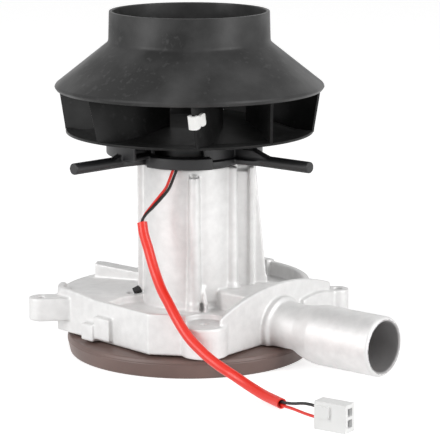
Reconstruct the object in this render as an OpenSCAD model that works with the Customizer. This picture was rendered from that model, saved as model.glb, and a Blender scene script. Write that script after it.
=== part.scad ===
// Double-ended DC blower: a hot-air impeller above a motor tower and a side-channel air wheel below it.
// Millimetres. The rotor axis is Z and the part stands on the rim of the lower wheel, at z = 0.

/* [Air impeller] */
// Largest diameter, at the rim of the shroud
impeller_d = 113; // [105:0.5:125]
// Outer diameter of the round air inlet
inlet_d = 67; // [56:0.5:74]
// Wall of the shroud
shroud_wall = 1.4; // [1:0.1:2]
// Height of the inlet's straight neck
neck_h = 13.4; // [8:0.2:22]
// Height of the sloping part of the shroud
cone_h = 19.3; // [14:0.1:24]
// Diameter of the backplate
backplate_d = 104; // [98:0.5:112]
// Height of the air outlet between the backplate and the shroud's rim
outlet_h = 16.8; // [12:0.1:22]
// Thickness of each blade
blade_t = 1.2; // [0.8:0.1:2]
// Rise of the backplate from its edge to its hub
dome_rise = 6; // [3:0.1:8]

/* [Motor] */
// Shaft diameter
shaft_d = 5; // [4:0.5:6]
// Diameter of the steel can
can_d = 35; // [33:0.1:37]
// Wall of the steel can
can_wall = 1.5; // [1:0.1:2]
// Diameter of the laminated core
core_d = 23.6; // [20:0.1:24.4]
// Outer diameter of each ball bearing
bearing_d = 13; // [11:0.5:14]
// Width of each ball bearing
bearing_w = 4; // [3:0.5:5]

/* [Cast housing] */
// Gap between the lower wheel and the casting
wheel_gap = 0.5; // [0.3:0.1:0.8]
// Height of the cast base, from its lower face to its deck
base_h = 15.1; // [13.5:0.1:18]
// Radius of the rounded back of the base
base_r = 54; // [52:0.5:58]
// Thickness of the cast walls round the deck
wall_t = 2.6; // [2:0.1:4]
// Height of the tall rear wall above the deck
rear_wall_h = 6; // [4:0.5:12]
// Wall of the motor tower
tower_wall = 1.6; // [1.2:0.1:3]
// Height of the tower's rim above the lower face of the base
tower_h = 71.4; // [69:0.2:75]
// Distance from the rotor axis to each ear's hole
ear_r = 63.6; // [62:0.1:70]
// Diameter of the hole in each ear
ear_hole_d = 4.2; // [3:0.1:5.5]
// Thickness of each ear
ear_h = 9.8; // [6:0.2:12]

/* [Air spigot] */
// Outer diameter of the intake spigot
spigot_d = 25; // [22:0.2:26]
// Wall of the spigot
spigot_wall = 2.1; // [1.5:0.1:3]
// Distance from the rotor axis to the spigot's mouth
spigot_reach = 97; // [88:0.5:110]
// Direction of the spigot in degrees from +X
spigot_az = -40; // [-50:1:-30]
// Sideways distance between the spigot's axis and the rotor axis
spigot_offset = 7; // [4:0.5:10]

/* [Side-channel wheel] */
// Diameter of the wheel at the top of its rim
wheel_d = 105.2; // [103:0.2:108]
// Height of the wheel
wheel_h = 8.7; // [8:0.1:10.5]
// Number of vanes
vane_count = 30; // [18:1:36]
// Radius of the middle of the air channel
channel_r = 36; // [34:0.5:37]
// Radius of the channel's round section in the wheel
channel_bore_r = 5.2; // [4.5:0.1:5.6]

/* [Arm cap] */
// Diameter of each arm
arm_d = 4.8; // [3.6:0.1:5.6]
// Distance from the rotor axis to the tips of the arms
arm_reach = 59; // [50:0.5:68]
// Radius of the cap's raised ring
ring_r = 32.9; // [30:0.1:36]

/* [Lead] */
// Diameter of each insulated wire
wire_d = 1.2; // [1:0.1:1.3]
// Outer diameter of the red sleeve
sleeve_d = 4.2; // [4:0.1:5]
// Wall of the red sleeve
sleeve_wall = 0.5; // [0.3:0.1:0.55]

/* [Hidden] */

fine = 96;
medium = 48;
small = 24;
over = 1;
far = 80;

// Running and seating clearances
run_gap = 0.05;
seat_gap = 0.1;
touch = 0.01;
shaft_r = shaft_d / 2;
insert_r = shaft_r + 1.6;

// Lower wheel and base levels
base_z = wheel_h + wheel_gap;
deck_z = base_z + base_h;
wheel_taper = 1.45;
wheel_edge_z = wheel_h - 2.5;
wheel_rim_w = 4;
wheel_web_z = 1.8;
hub_r = 9;
hub_base_z = 4;

// Plan of the base: a round back cut by three flats, each an angle and a distance from the rotor axis
base_shift = -2.5;
spigot_flat = 43.5;
wall_flats = [[spigot_az, spigot_flat], [-136.8, 44.5], [-100, 49.5]];
rim_h = 2;
rear_r = 51;
deck_drop = 3.4;
floor_z = deck_z - deck_drop;
// Corners of the left island's edge, from the tower out to the wall
island_edge = [[-18, -2], [-28, -8], [-40, -26]];
// Block over the air outlet, in plan
outlet_block = [[-42.2, 27.4], [-16, 18.5], [-16, 60], [-60, 60]];
outlet_block_h = 4.4;
arch_rise = 9.1;
arch_r = 103;
duct_h = 6.7;

// Motor tower
can_r = can_d / 2;
tower_bore_r = can_r + seat_gap;
tower_r = tower_bore_r + tower_wall;
floor_t = 3.8;
can_z = base_z + floor_t;
bell_t = 6;
cap_gap = 2;
can_len = tower_h - floor_t - bell_t - cap_gap;
can_top = can_z + can_len;
bell_top = can_top + bell_t;
tower_top = base_z + tower_h;
seal_r = 6.6;
seal_t = 2.6;
bearing_r = bearing_d / 2;
lower_bearing_z = can_z + can_wall;
upper_bearing_z = bell_top - bearing_w;
screw_r = 11.5;
screw_az = [25, 205];

// Rotor inside the motor
core_z = can_z + 18;
core_len = can_len - 34;
core_top = core_z + core_len;
core_r = core_d / 2;
coil_h = 4.5;
comm_r = 4.6;
comm_z = core_top + coil_h + 1.5;
comm_top = comm_z + 8;
magnet_gap = 0.6;
brush_z = comm_z + 1.6;
brush_h = 4.6;
brush_w = 3.6;
brush_len = 4.4;
spring_t = 0.4;

// Arm cap: two arms that run from one point behind the axis
arm_z = tower_top + 3.4;
arm_r = arm_d / 2;
arm_azimuths = [-40, -136];
arm_root = [0, 8.6];
cap_r = tower_r + 1.2;
skirt_h = 3.4;
apron_r = 24.4;
apron_wall = 1.4;
apron_arc = [-137, -66];
hub_plate_r = 23.2;
hub_plate_t = 2.4;
hub_plate_z = arm_z - arm_r + 0.3;
slot_arc = [-138, -73];
ring_shift = -2.2;
ring_wall = 1.6;
ring_gap = [-128, -24];
ring_z = arm_z + 1;
root_top_z = arm_z + 4.3;
crown_z = arm_z + 6.2;

// Upper impeller levels
backplate_z = arm_z + 10.1;
backplate_t = 1.1;
rim_z = backplate_z + backplate_t + outlet_h;
neck_z = rim_z + cone_h;
top_z = neck_z + neck_h;
impeller_r = impeller_d / 2;
inlet_r = inlet_d / 2;
backplate_r = backplate_d / 2;
hub_top_z = backplate_z + 13;
hub_bottom_z = crown_z + 0.9;
dome_r = 28;
blade_in_r = 28.5;
blade_curve_r = 62;
blade_sweep = 38;
blade_curve_at = [backplate_r + 3.6 - blade_curve_r * sin(blade_sweep), -blade_curve_r * cos(blade_sweep)];
clip_tilt = 10;
clip_turn = 4;
// Blade angles, seen from above: the spacing is uneven, which spreads the blade tone
blade_azimuths = [-185, -138, -89, -53, -11, 35, 82, 128];
shaft_top = hub_top_z + 6;
shaft_bottom = 0.4;
nut_h = 2.8;
nut_af = 8;
washer_t = 0.6;

// Intake spigot
spigot_r = spigot_d / 2;
spigot_z = base_z + 5.8;
root_r = spigot_r - 1.5;
root_end = 58;
flare_end = 66;
root_floor_z = base_z - 0.2;
duct_floor_z = base_z + 1.4;

// Ears and bosses
ear_az = 7.2;
ear_pad_r = 40;
ear_tip_r = 5;
front_boss = [6.4, -46.7];
front_boss_r = 9.8;
pocket_r = 7.8;
pocket_z = base_z + 12.8;
boss_hole_r = 1.7;
tower_boss_r = 2.3;
tower_bosses = [-84, -26, 96];
gusset_az = -73;
boss_tops = [tower_top - 2.9, tower_top - 0.3, tower_top - 2.9];
outlet_x = -30;
outlet_r = 6;
outlet_z = base_z + 7.4;
outlet_depth = 14;

// Lead: a pair of wires along one route, then each wire to its own contact
sleeve_r = sleeve_d / 2;
wire_r = wire_d / 2;
pair_half = wire_r + 0.06;
route = [[-4.6, -17.0, 82.2], [-5.4, -20.7, 82.0], [-6.6, -22.0, 79.2], [-8.8, -23.8, 74.0],
    [-12.0, -24.8, 70.0], [-15.4, -26.2, 66.2], [-18.0, -28.0, 63.4], [-19.2, -29.8, 60.6],
    [-18.4, -31.8, 56.0], [-16.6, -33.8, 50.4], [-14.9, -36.2, 44.8], [-13.0, -39.2, 39.6],
    [-10.9, -43.2, 35.2], [-8.2, -47.8, 31.2], [-5.4, -52.4, 26.8], [-2.2, -56.6, 22.3],
    [1.2, -59.8, 18.4], [4.8, -62.6, 15.3], [8.4, -65.4, 12.6], [12.4, -68.2, 10.2],
    [18.2, -71.8, 7.2], [24.0, -77.2, 4.6], [29.4, -84.2, 3.0], [33.4, -90.0, 2.5], [36.6, -95.6, 2.5]];
sleeve_first = 7;
twist_start = 180;
twist_step = 18.75;
red_start = [[-9.0, -8.6, 80.4]];
black_start = [[3.4, -11.6, 80.4]];
red_end = [[40.6, -102.4, 2.4], [45.4, -110.8, 2.8]];
black_end = [[40.4, -102.2, 4.4], [45.2, -110.6, 6.8]];
wire_ref = [0.8, 0.6, 0];
wire_sides = 8;
sleeve_sides = 10;

// Two-pin connector that stands on its narrow side
plug_corner = [48, -121.2];
plug_len = 13.8;
plug_w = 6.4;
plug_h = 11;
plug_az = -34;
pin_heights = [3.4, 7.8];
cavity = 3.2;
contact_inset = 1.2;
wire_inset = contact_inset - 0.3;

// Points of an arc, for outlines
function arc(c, r, a0, a1, n) =
    [for (i = [0:n]) c + r * [cos(a0 + (a1 - a0) * i / n), sin(a0 + (a1 - a0) * i / n)]];

module turned(az) {
    rotate([0, 0, az]) children();
}

module upright(r, z0, z1, sides = medium) {
    translate([0, 0, z0]) cylinder(r = r, h = z1 - z0, $fn = sides);
}

module tube(ro, ri, z0, z1, sides = medium) {
    difference() {
        upright(ro, z0, z1, sides);
        upright(ri, z0 - over, z1 + over, sides);
    }
}

// A cylinder along the spigot's direction, from one distance to another
module along_spigot(r0, r1, n0, n1) {
    turned(spigot_az)
        translate([n0, spigot_offset, spigot_z])
            rotate([0, 90, 0])
                cylinder(r1 = r0, r2 = r1, h = n1 - n0, $fn = fine);
}

// Outline of the base, drawn in by a wall where an inner outline is wanted
module base_outline(inset = 0) {
    difference() {
        translate([base_shift, 0]) circle(r = base_r - inset, $fn = fine);
        for (flat = wall_flats)
            rotate(flat[0])
                translate([flat[1] - inset, -far])
                    square([far, 2 * far]);
    }
}

// Plan of the wall round the deck, set in a little from the base
module wall_ring(inset) {
    difference() {
        base_outline(inset);
        base_outline(inset + wall_t);
        spigot_side();
        sector(far, 100, 170);
    }
}

// Half plane at the spigot's wall, which has its own height
module spigot_side() {
    rotate(spigot_az)
        translate([spigot_flat - wall_t / 2, -far])
            square([far, 2 * far]);
}

module sector(r, a0, a1) {
    polygon(concat([[0, 0]], arc([0, 0], r, a0, a1, 12)));
}

module ear_outline(az) {
    rotate(az) {
        translate([ear_r, 0]) circle(r = ear_tip_r, $fn = medium);
        translate([ear_r - 22, -ear_tip_r]) square([22, 2 * ear_tip_r]);
    }
}

// Web that fills the corner between the spigot's wall and the right ear
module right_web_outline() {
    rotate(spigot_az)
        polygon([[spigot_flat - 14, 20], [spigot_flat - 0.2, 20], [spigot_flat - 0.2, 46], [spigot_flat - 5, 50]]);
}

// Base block with its deck, walls, arch and ears
module base_body() {
    translate([0, 0, base_z])
        linear_extrude(base_h)
            base_outline();
    translate([0, 0, deck_z - over])
        linear_extrude(rim_h + over)
            wall_ring(0.05);
    rear_walls();
    spigot_arch();
    for (side = [0, 180])
        translate([0, 0, deck_z - ear_h])
            linear_extrude(ear_h)
                ear_outline(ear_az + side);
    translate([0, 0, deck_z - ear_h + 0.1])
        linear_extrude(ear_h - 0.2)
            right_web_outline();
    translate([front_boss[0], front_boss[1], 0])
        upright(front_boss_r, base_z, pocket_z);
    wall_lug();
}

// At the back: a thin curved wall with a short pad, and a block over the air outlet
module rear_walls() {
    wall_stretch(rear_r - wall_t, rear_r, -2, 110, rear_wall_h);
    wall_stretch(rear_r - 4.6, rear_r + 0.2, 44, 52, rear_wall_h + 1);
    translate([0, 0, deck_z - over])
        linear_extrude(outlet_block_h + over)
            intersection() {
                polygon(outlet_block);
                base_outline(0.12);
            }
}

module wall_stretch(r0, r1, a0, a1, h) {
    translate([0, 0, deck_z - over])
        linear_extrude(h + over)
            intersection() {
                difference() {
                    circle(r = r1, $fn = fine);
                    circle(r = r0, $fn = fine);
                }
                sector(far, a0, a1);
            }
}

// Wall over the spigot, with an arched top
module spigot_arch() {
    turned(spigot_az) {
        intersection() {
            translate([spigot_flat - wall_t, -40, deck_z - over])
                cube([wall_t - 0.05, 80, 20]);
            arch_disc(wall_t + 2 * over);
            translate([0, 0, deck_z - 2 * over])
                linear_extrude(20)
                    rotate(-spigot_az)
                        base_outline(0.05);
        }
        // The same wall runs on past the round base as far as the ear
        intersection() {
            translate([spigot_flat - wall_t - 0.1, 22, deck_z - ear_h + 0.2])
                cube([wall_t - 0.1, 19.6, ear_h + 12]);
            arch_disc(wall_t + 2 * over);
        }
        ear_pad();
    }
    duct_block();
}

module arch_disc(h) {
    translate([spigot_flat - wall_t - over, 9, deck_z + arch_rise - arch_r])
        rotate([0, 90, 0])
            cylinder(r = arch_r, h = h, $fn = fine);
}

// Thick pad with a rounded top that joins the right ear to the spigot's wall
module ear_pad() {
    intersection() {
        translate([spigot_flat - 4, 20.4, spigot_z])
            cube([6, 28.8, 12]);
        translate([spigot_flat - 5, 31, deck_z + 1 - ear_pad_r])
            rotate([0, 90, 0])
                cylinder(r = ear_pad_r, h = 8, $fn = fine);
    }
}

// Raised roof of the duct that runs in from the spigot beside the tower
module duct_block() {
    turned(spigot_az)
        translate([12, -10.5, deck_z - over])
            cube([spigot_flat - 12 - over, 35, duct_h + over]);
}

// Small stepped lug on the outside of the front-left wall
module wall_lug() {
    turned(wall_flats[1][0])
        translate([wall_flats[1][1] - over, -15.4, base_z]) {
            cube([4.4, 7.4, 7.2]);
            translate([0, 7, 1.2]) cube([3.4, 9.6, 9.8]);
        }
}

// Motor tower: a thin tube with screw bosses, a rib and a fin, standing on the deck
module tower_body() {
    translate([0, 0, deck_z])
        cylinder(r1 = tower_r + 0.3, r2 = tower_r, h = tower_top - deck_z, $fn = fine);
    for (i = [0:len(tower_bosses) - 1])
        turned(tower_bosses[i]) {
            translate([tower_r + 0.6, 0, deck_z])
                cylinder(r1 = tower_boss_r + 0.5, r2 = tower_boss_r - 0.1, h = boss_tops[i] - deck_z,
                    $fn = small);
            translate([tower_r - 1, -0.9, deck_z])
                cube([1.2, 1.8, boss_tops[i] - deck_z]);
        }
    // Foot of the right boss
    turned(tower_bosses[1])
        translate([tower_r + 0.8, 0, deck_z + duct_h - 0.4])
            cylinder(r1 = 3.4, r2 = 2.2, h = 2.6, $fn = small);
    // Slim rib down the left side
    translate([-tower_r - 3, -1.4, deck_z])
        cube([4.4, 2.8, tower_top - deck_z]);
    tower_wing();
    foot_gusset();
}

module motor_tower() {
    color("gainsboro")
        difference() {
            tower_body();
            upright(tower_bore_r, deck_z - over, tower_top + over, fine);
            duct_block();
            for (i = [0:len(tower_bosses) - 1])
                turned(tower_bosses[i])
                    translate([tower_r + 0.8, 0, 0])
                        upright(1.45, boss_tops[i] - 12, boss_tops[i] + over, small);
            plug_socket();
        }
}

// Tapered fin on the right of the tower, with a rib down its face
module tower_wing() {
    translate([0, 1.2, 0])
        rotate([90, 0, 0])
            linear_extrude(2.4)
                polygon([[tower_r - 1, deck_z], [33, deck_z], [33, deck_z + 1],
                    [27.8, tower_top - 0.6], [tower_r - 1, tower_top - 0.6]]);
    translate([24.9, -4.6, deck_z])
        cube([2.1, 4.6, tower_top - 1.4 - deck_z]);
    translate([tower_r - 1, -3.4, deck_z])
        cube([7.2, 2.4, tower_top - 3 - deck_z]);
}

// Diagonal gusset at the foot of the front boss
module foot_gusset() {
    turned(gusset_az)
        translate([tower_r - 1, 0.7, 0])
            rotate([90, 0, 0])
                linear_extrude(1.4)
                    polygon([[0, deck_z], [5.6, deck_z], [1.4, deck_z + 7], [0, deck_z + 7]]);
}

// Spigot: full round outside, with a flat under its root to clear the wheel
module spigot_body() {
    difference() {
        union() {
            along_spigot(root_r, root_r, spigot_flat - over, root_end + touch);
            along_spigot(root_r, spigot_r, root_end, flare_end);
            along_spigot(spigot_r, spigot_r, flare_end - touch, spigot_reach - 1);
            along_spigot(spigot_r, spigot_r - 0.7, spigot_reach - 1, spigot_reach);
            along_spigot(spigot_r + 0.4, spigot_r + 0.4, spigot_flat - over, spigot_flat + 2.2);
            along_spigot(spigot_r + 0.4, root_r, spigot_flat + 2.2 - touch, spigot_flat + 3.4);
        }
        turned(spigot_az)
            translate([0, spigot_offset - far / 2, 0])
                rotate([90, 0, 180])
                    mirror([1, 0, 0])
                        linear_extrude(far)
                            polygon([[0, -far], [flare_end + 4, -far], [flare_end + 1, root_floor_z - 9],
                                [root_end - 1, root_floor_z], [0, root_floor_z]]);
    }
}

// All that is cut out of the casting
module housing_cuts() {
    // Motor bore, shaft passage and the seat of the seal
    upright(tower_bore_r, can_z, tower_top + over, fine);
    upright(shaft_r + 1.5, base_z - over, can_z + over);
    upright(seal_r, can_z - seal_t, can_z + over);
    for (az = screw_az)
        turned(az)
            translate([screw_r, 0, 0]) {
                upright(1.6, base_z - over, can_z + over, small);
                upright(3, base_z - over, base_z + 2.3, small);
            }
    // Side channel in the lower face, broken by the stripper between outlet and inlet
    translate([0, 0, base_z])
        rotate([0, 0, spigot_az - 4])
            rotate_extrude(angle = -304, $fn = fine)
                translate([channel_r, 0])
                    circle(r = channel_bore_r, $fn = medium);
    // Intake duct
    difference() {
        union() {
            along_spigot(spigot_r - spigot_wall, spigot_r - spigot_wall, flare_end, spigot_reach + over);
            along_spigot(root_r - spigot_wall, spigot_r - spigot_wall, root_end, flare_end + touch);
            along_spigot(root_r - spigot_wall, root_r - spigot_wall, channel_r - 6, root_end + touch);
        }
        turned(spigot_az)
            translate([0, spigot_offset - far / 2, duct_floor_z - far])
                cube([flare_end - 2, far, far]);
    }
    turned(spigot_az)
        translate([channel_r - 4.4, 0, base_z - over])
            cube([8.8, spigot_offset + 6, 5]);
    // Air outlet at the back
    translate([outlet_x, 34, outlet_z])
        rotate([-90, 0, 0])
            cylinder(r = outlet_r, h = far, $fn = medium);
    translate([outlet_x, 20, outlet_z])
        sphere(r = outlet_r - 0.6, $fn = medium);
    translate([outlet_x, 20, outlet_z])
        rotate([-90, 0, 0])
            cylinder(r = outlet_r - 0.6, h = 16, $fn = medium);
    // Holes in the ears
    for (side = [0, 180])
        turned(ear_az + side)
            translate([ear_r, 0, 0])
                upright(ear_hole_d / 2, deck_z - ear_h - over, deck_z + 8, small);
    // Flat screw seat and hole in the front boss
    translate([front_boss[0], front_boss[1], 0]) {
        upright(pocket_r, pocket_z, deck_z + 20);
        upright(boss_hole_r, base_z - over, pocket_z + over, small);
    }
    deck_pockets();
    plug_socket();
}

// Low floor in front of the tower, from the left island round to the duct
module deck_pockets() {
    translate([0, 0, floor_z])
        linear_extrude(20)
            difference() {
                intersection() {
                    base_outline(wall_t);
                    polygon(concat(island_edge, [[-40, -far], [far, -far], [far, 0], [0, 0]]));
                }
                rotate(spigot_az)
                    translate([0, -10.7]) square([far, far]);
                circle(r = tower_r + 0.5, $fn = fine);
                translate(front_boss) circle(r = front_boss_r, $fn = medium);
                turned(tower_bosses[0])
                    translate([tower_r + 0.6, 0]) circle(r = tower_boss_r + 0.8, $fn = small);
                turned(gusset_az)
                    translate([tower_r - 1, -0.9]) square([7, 1.8]);
            }
}

module plug_socket() {
    translate([-tower_r - 2.8, -0.4, deck_z + 1.3])
        rotate([0, -118, 0])
            translate([0, 0, -1])
                cylinder(r = 1.7, h = 6, $fn = small);
}

module blower_housing() {
    color("gainsboro")
        difference() {
            union() {
                base_body();
                spigot_body();
            }
            housing_cuts();
        }
}

// Black rubber plug at the foot of the left rib
module drain_plug() {
    color("black")
        translate([-tower_r - 2.8, -0.4, deck_z + 1.3])
            rotate([0, -118, 0])
                translate([0, 0, -0.9])
                    cylinder(r = 1.7 - touch, h = 3, $fn = small);
}

module shaft_seal() {
    color("dimgray")
        tube(seal_r - touch, shaft_r + run_gap, can_z - seal_t, can_z - touch);
}

module motor_screws() {
    color("silver")
        for (az = screw_az)
            turned(az)
                translate([screw_r, 0, 0])
                    difference() {
                        union() {
                            upright(2.6, base_z + 0.3, base_z + 2.3, small);
                            upright(1.5, base_z + 2.2, can_z + can_wall, small);
                        }
                        translate([-2, -0.4, base_z]) cube([4, 0.8, 1]);
                    }
}

module motor_can() {
    color("darkgray")
        difference() {
            upright(can_r, can_z, can_top, fine);
            upright(can_r - can_wall, can_z + can_wall, can_top + over, fine);
            upright(shaft_r + 1, can_z - over, can_z + can_wall + over);
            for (az = screw_az)
                turned(az)
                    translate([screw_r, 0, 0])
                        upright(1.5, can_z - over, can_z + can_wall + over, small);
        }
    // Seat of the lower bearing
    color("darkgray")
        tube(bearing_r + 1.2, bearing_r, can_z + can_wall - touch, can_z + can_wall + bearing_w);
}

module field_magnets() {
    color("#3c3c40")
        for (side = [0, 180])
            translate([0, 0, core_z - 2])
                linear_extrude(core_len + 4)
                    intersection() {
                        difference() {
                            circle(r = can_r - can_wall, $fn = fine);
                            circle(r = core_r + magnet_gap, $fn = fine);
                        }
                        sector(far / 2, side - 66, side + 66);
                    }
}

module lower_bearing() {
    color("silver")
        bearing(lower_bearing_z);
}

module upper_bearing() {
    color("silver")
        bearing(upper_bearing_z);
}

// Outer and inner races with a recessed shield between them
module bearing(z) {
    difference() {
        tube(bearing_r, shaft_r + run_gap, z, z + bearing_w);
        for (end = [z - over, z + bearing_w - 0.3])
            tube(bearing_r - 1.2, shaft_r + 1.4, end, end + over + 0.3);
    }
}

// Moulded end bell that closes the can and holds the upper bearing
module end_bell() {
    color("#2a2a2c")
        difference() {
            union() {
                upright(can_r, can_top, bell_top, fine);
                upright(can_r - can_wall - touch, can_top - 2, can_top + touch, fine);
            }
            upright(bearing_r, upper_bearing_z, bell_top + over);
            upright(shaft_r + 1.6, can_top - 3, bell_top + over);
            upright(can_r - can_wall - 2, can_top - 3, can_top + 1.6, fine);
        }
}

module brushes() {
    color("#303034")
        for (side = [0, 180])
            turned(side)
                intersection() {
                    translate([0, -brush_w / 2, brush_z])
                        cube([comm_r + brush_len, brush_w, brush_h]);
                    tube(far, comm_r + run_gap, brush_z, brush_z + brush_h);
                }
}

// Flat springs that hang from the end bell and press the brushes inwards
module brush_springs() {
    color("peru")
        for (side = [0, 180])
            turned(side)
                translate([comm_r + brush_len, -brush_w / 2, brush_z])
                    cube([spring_t, brush_w, can_top + 1.6 - brush_z]);
}

module motor_terminals() {
    color("gold")
        for (pos = [red_start[0], black_start[0]])
            translate([pos[0] - 1.4, pos[1] + wire_r, bell_top])
                cube([2.8, 0.6, 2.6]);
}

// Black moulded cap on the tower: skirt, crown, front apron, broken ring and two round arms
module arm_cap() {
    color("#262626")
        difference() {
            union() {
                upright(cap_r, tower_top, arm_z + 1.2, fine);
                upright(tower_bore_r - touch, tower_top - 1.2, tower_top + touch, fine);
                crown();
                translate([0, 0, hub_plate_z]) cylinder(r = hub_plate_r, h = hub_plate_t, $fn = fine);
                apron();
                outer_ring();
                for (az = arm_azimuths)
                    cap_arm(az);
            }
            // Room for the terminals and the shaft
            upright(tower_bore_r - 1.8, tower_top - 2, tower_top + skirt_h, fine);
            upright(shaft_r + 1.5, tower_top, crown_z + over);
            // Notch that lets the lead out behind the apron
            translate([route[1][0] - 2.4, 2 - apron_r, tower_top - 2])
                cube([7, 10, 5.2]);
        }
}

// Upright wall of the crown, open at the front above the apron
module crown() {
    translate([0, 0, arm_z])
        linear_extrude(crown_z - arm_z)
            difference() {
                circle(r = cap_r + 0.8, $fn = fine);
                circle(r = cap_r - 1.4, $fn = fine);
                sector(far, slot_arc[0], slot_arc[1]);
            }
    upright(cap_r - 4, arm_z, crown_z - 1, fine);
}

// Apron in front of the lead's exit, hung from a ledge
module apron() {
    translate([0, 0, tower_top + 0.6])
        linear_extrude(arm_z + 2 - tower_top - 0.6)
            arc_wall(apron_r, apron_r - apron_wall, apron_arc);
    translate([0, 0, arm_z + 0.1])
        linear_extrude(1.8)
            arc_wall(apron_r - 0.1, cap_r - 1.2, apron_arc);
}

// Ring behind the arms, open at the front
module outer_ring() {
    translate([ring_shift, 0, 0]) {
        translate([0, 0, ring_z])
            linear_extrude(1.4)
                difference() {
                    circle(r = ring_r - 0.1, $fn = fine);
                    translate([-ring_shift, 0]) circle(r = cap_r, $fn = fine);
                    sector(far, ring_gap[0], ring_gap[1]);
                }
        translate([0, 0, ring_z])
            linear_extrude(backplate_z - 1.4 - ring_z)
                difference() {
                    circle(r = ring_r, $fn = fine);
                    circle(r = ring_r - ring_wall, $fn = fine);
                    sector(far, ring_gap[0], ring_gap[1]);
                }
    }
}

module arc_wall(ro, ri, ends) {
    intersection() {
        difference() {
            circle(r = ro, $fn = fine);
            circle(r = ri, $fn = fine);
        }
        sector(far, ends[0], ends[1]);
    }
}

// One arm: a round rod with a flat tapering web and a raised root
module cap_arm(az) {
    start = arm_start(az);
    root_end_t = arm_root_end(az);
    translate([arm_root[0], arm_root[1], 0])
        turned(az) {
            translate([start, 0, arm_z])
                rotate([0, 90, 0])
                    cylinder(r = arm_r, h = arm_length(az) - start, $fn = medium);
            translate([start, 0, hub_plate_z + 0.1])
                linear_extrude(hub_plate_t - 0.2)
                    polygon([[-1, -7], [-1, 7], [8, 5], [18, 3], [24, 1.8], [24, -1.8], [18, -3], [8, -5]]);
            translate([0, 2, 0])
                rotate([90, 0, 0])
                    linear_extrude(4)
                        polygon([[start, arm_z], [start, root_top_z], [root_end_t, root_top_z],
                            [root_end_t + 8, arm_z + 1.6], [root_end_t + 8, arm_z]]);
        }
}

function arm_start(az) = cap_r + 1 - arm_root[1] * abs(sin(az)) / 2;
function arm_root_end(az) = ring_r - 2.6 + arm_root[1] * abs(sin(az));
function arm_length(az) = arm_reach + arm_root[1] * abs(sin(az));

module motor_shaft() {
    color("silver")
        upright(shaft_r, shaft_bottom, shaft_top);
}

// Spacers that hold the core between the bearings
module shaft_spacers() {
    color("silver") {
        tube(shaft_r + 1.1, shaft_r, lower_bearing_z + bearing_w + run_gap, core_z);
        tube(shaft_r + 1.1, shaft_r, comm_top, upper_bearing_z - run_gap);
    }
}

module armature_core() {
    color("slategray")
        translate([0, 0, core_z])
            linear_extrude(core_len)
                difference() {
                    circle(r = core_r, $fn = fine);
                    circle(r = shaft_r, $fn = medium);
                    for (i = [0:4])
                        rotate(72 * i) core_slot();
                }
}

// One winding slot: a narrow mouth and a wide bottom
module core_slot() {
    translate([core_r - 3.4, -0.9]) square([5, 1.8]);
    intersection() {
        difference() {
            circle(r = core_r - 1.6, $fn = fine);
            circle(r = shaft_r + 2.6, $fn = medium);
        }
        sector(far / 2, -26, 26);
    }
}

// Copper coils: one bundle in each slot, with rounded heads above and below the core
module armature_windings() {
    color("chocolate") {
        for (i = [0:4])
            translate([0, 0, core_z - coil_h + 1])
                linear_extrude(core_len + 2 * coil_h - 2)
                    rotate(72 * i)
                        intersection() {
                            difference() {
                                circle(r = core_r - 1.9, $fn = fine);
                                circle(r = shaft_r + 2.9, $fn = medium);
                            }
                            sector(far / 2, -24, 24);
                        }
        for (z = [core_z - coil_h / 2, core_top + coil_h / 2])
            translate([0, 0, z])
                rotate_extrude($fn = fine)
                    translate([shaft_r + 4.4, 0])
                        scale_bar(core_r - shaft_r - 5.2, coil_h - 0.6);
    }
}

// Cross-section of a coil head: a bar with a rounded outer corner
module scale_bar(w, h) {
    polygon(concat([[-1.2, -h / 2], [w - 1.5, -h / 2]], arc([w - 1.5, 0], h / 2, -60, 60, 6),
        [[w - 1.5, h / 2], [-1.2, h / 2]]));
}

module commutator() {
    color("peru")
        difference() {
            tube(comm_r, shaft_r, comm_z, comm_top);
            for (i = [0:4])
                turned(36 + 72 * i)
                    translate([comm_r - 0.8, -0.2, comm_z - over])
                        cube([2, 0.4, comm_top - comm_z - 0.8 + over]);
        }
    // Insulating collar between the coil head and the copper
    color("peru")
        tube(shaft_r + 1.4, shaft_r, core_top, comm_z + touch);
}

// Backplate of the impeller: a thin disc that rises to a domed centre and a hub
module impeller_backplate() {
    color("#2b2b2d")
        rotate_extrude($fn = fine)
            polygon([[insert_r, hub_bottom_z], [insert_r + 4, hub_bottom_z],
                [insert_r + 4, backplate_z + dome_rise - 1.2], [dome_r - 10, backplate_z + dome_rise - 0.8],
                [dome_r, backplate_z + dome_rise - 1.8], [dome_r + 8, backplate_z + dome_rise / 3],
                [dome_r + 16, backplate_z], [backplate_r, backplate_z],
                [backplate_r, backplate_z + backplate_t], [dome_r + 16, backplate_z + backplate_t],
                [dome_r + 8, backplate_z + dome_rise / 3 + backplate_t + 0.1],
                [dome_r, backplate_z + dome_rise - 0.5], [dome_r - 10, backplate_z + dome_rise + 0.8],
                [insert_r + 5, backplate_z + dome_rise + 2.4], [insert_r + 4, hub_top_z],
                [insert_r, hub_top_z]]);
}

// Height of the shroud's inner face at a radius, on its sloping part
function cone_z(r) = rim_z + 0.7
    + (impeller_r - shroud_wall - r) * (cone_h - 1.5) / (impeller_r - inlet_r - 1.2);

// Side view of the space that the blades fill, between the backplate and the shroud
module blade_space() {
    tip_r = impeller_r - 1.7;
    top_r = inlet_r - shroud_wall + 1.2;
    polygon([[blade_in_r, backplate_z + dome_rise - 0.3],
        [dome_r + 8, backplate_z + dome_rise / 3 + backplate_t + 0.12],
        [dome_r + 16, backplate_z + backplate_t], [backplate_r - 0.1, backplate_z + backplate_t],
        [tip_r, rim_z], [tip_r, cone_z(tip_r)], [top_r, cone_z(top_r)],
        [blade_in_r, cone_z(top_r) - 8]]);
}

module impeller_blades() {
    color("#343436")
        for (az = blade_azimuths)
            intersection() {
                rotate_extrude($fn = fine) blade_space();
                turned(az)
                    translate([0, 0, backplate_z])
                        linear_extrude(neck_z - backplate_z)
                            blade_outline();
            }
}

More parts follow.
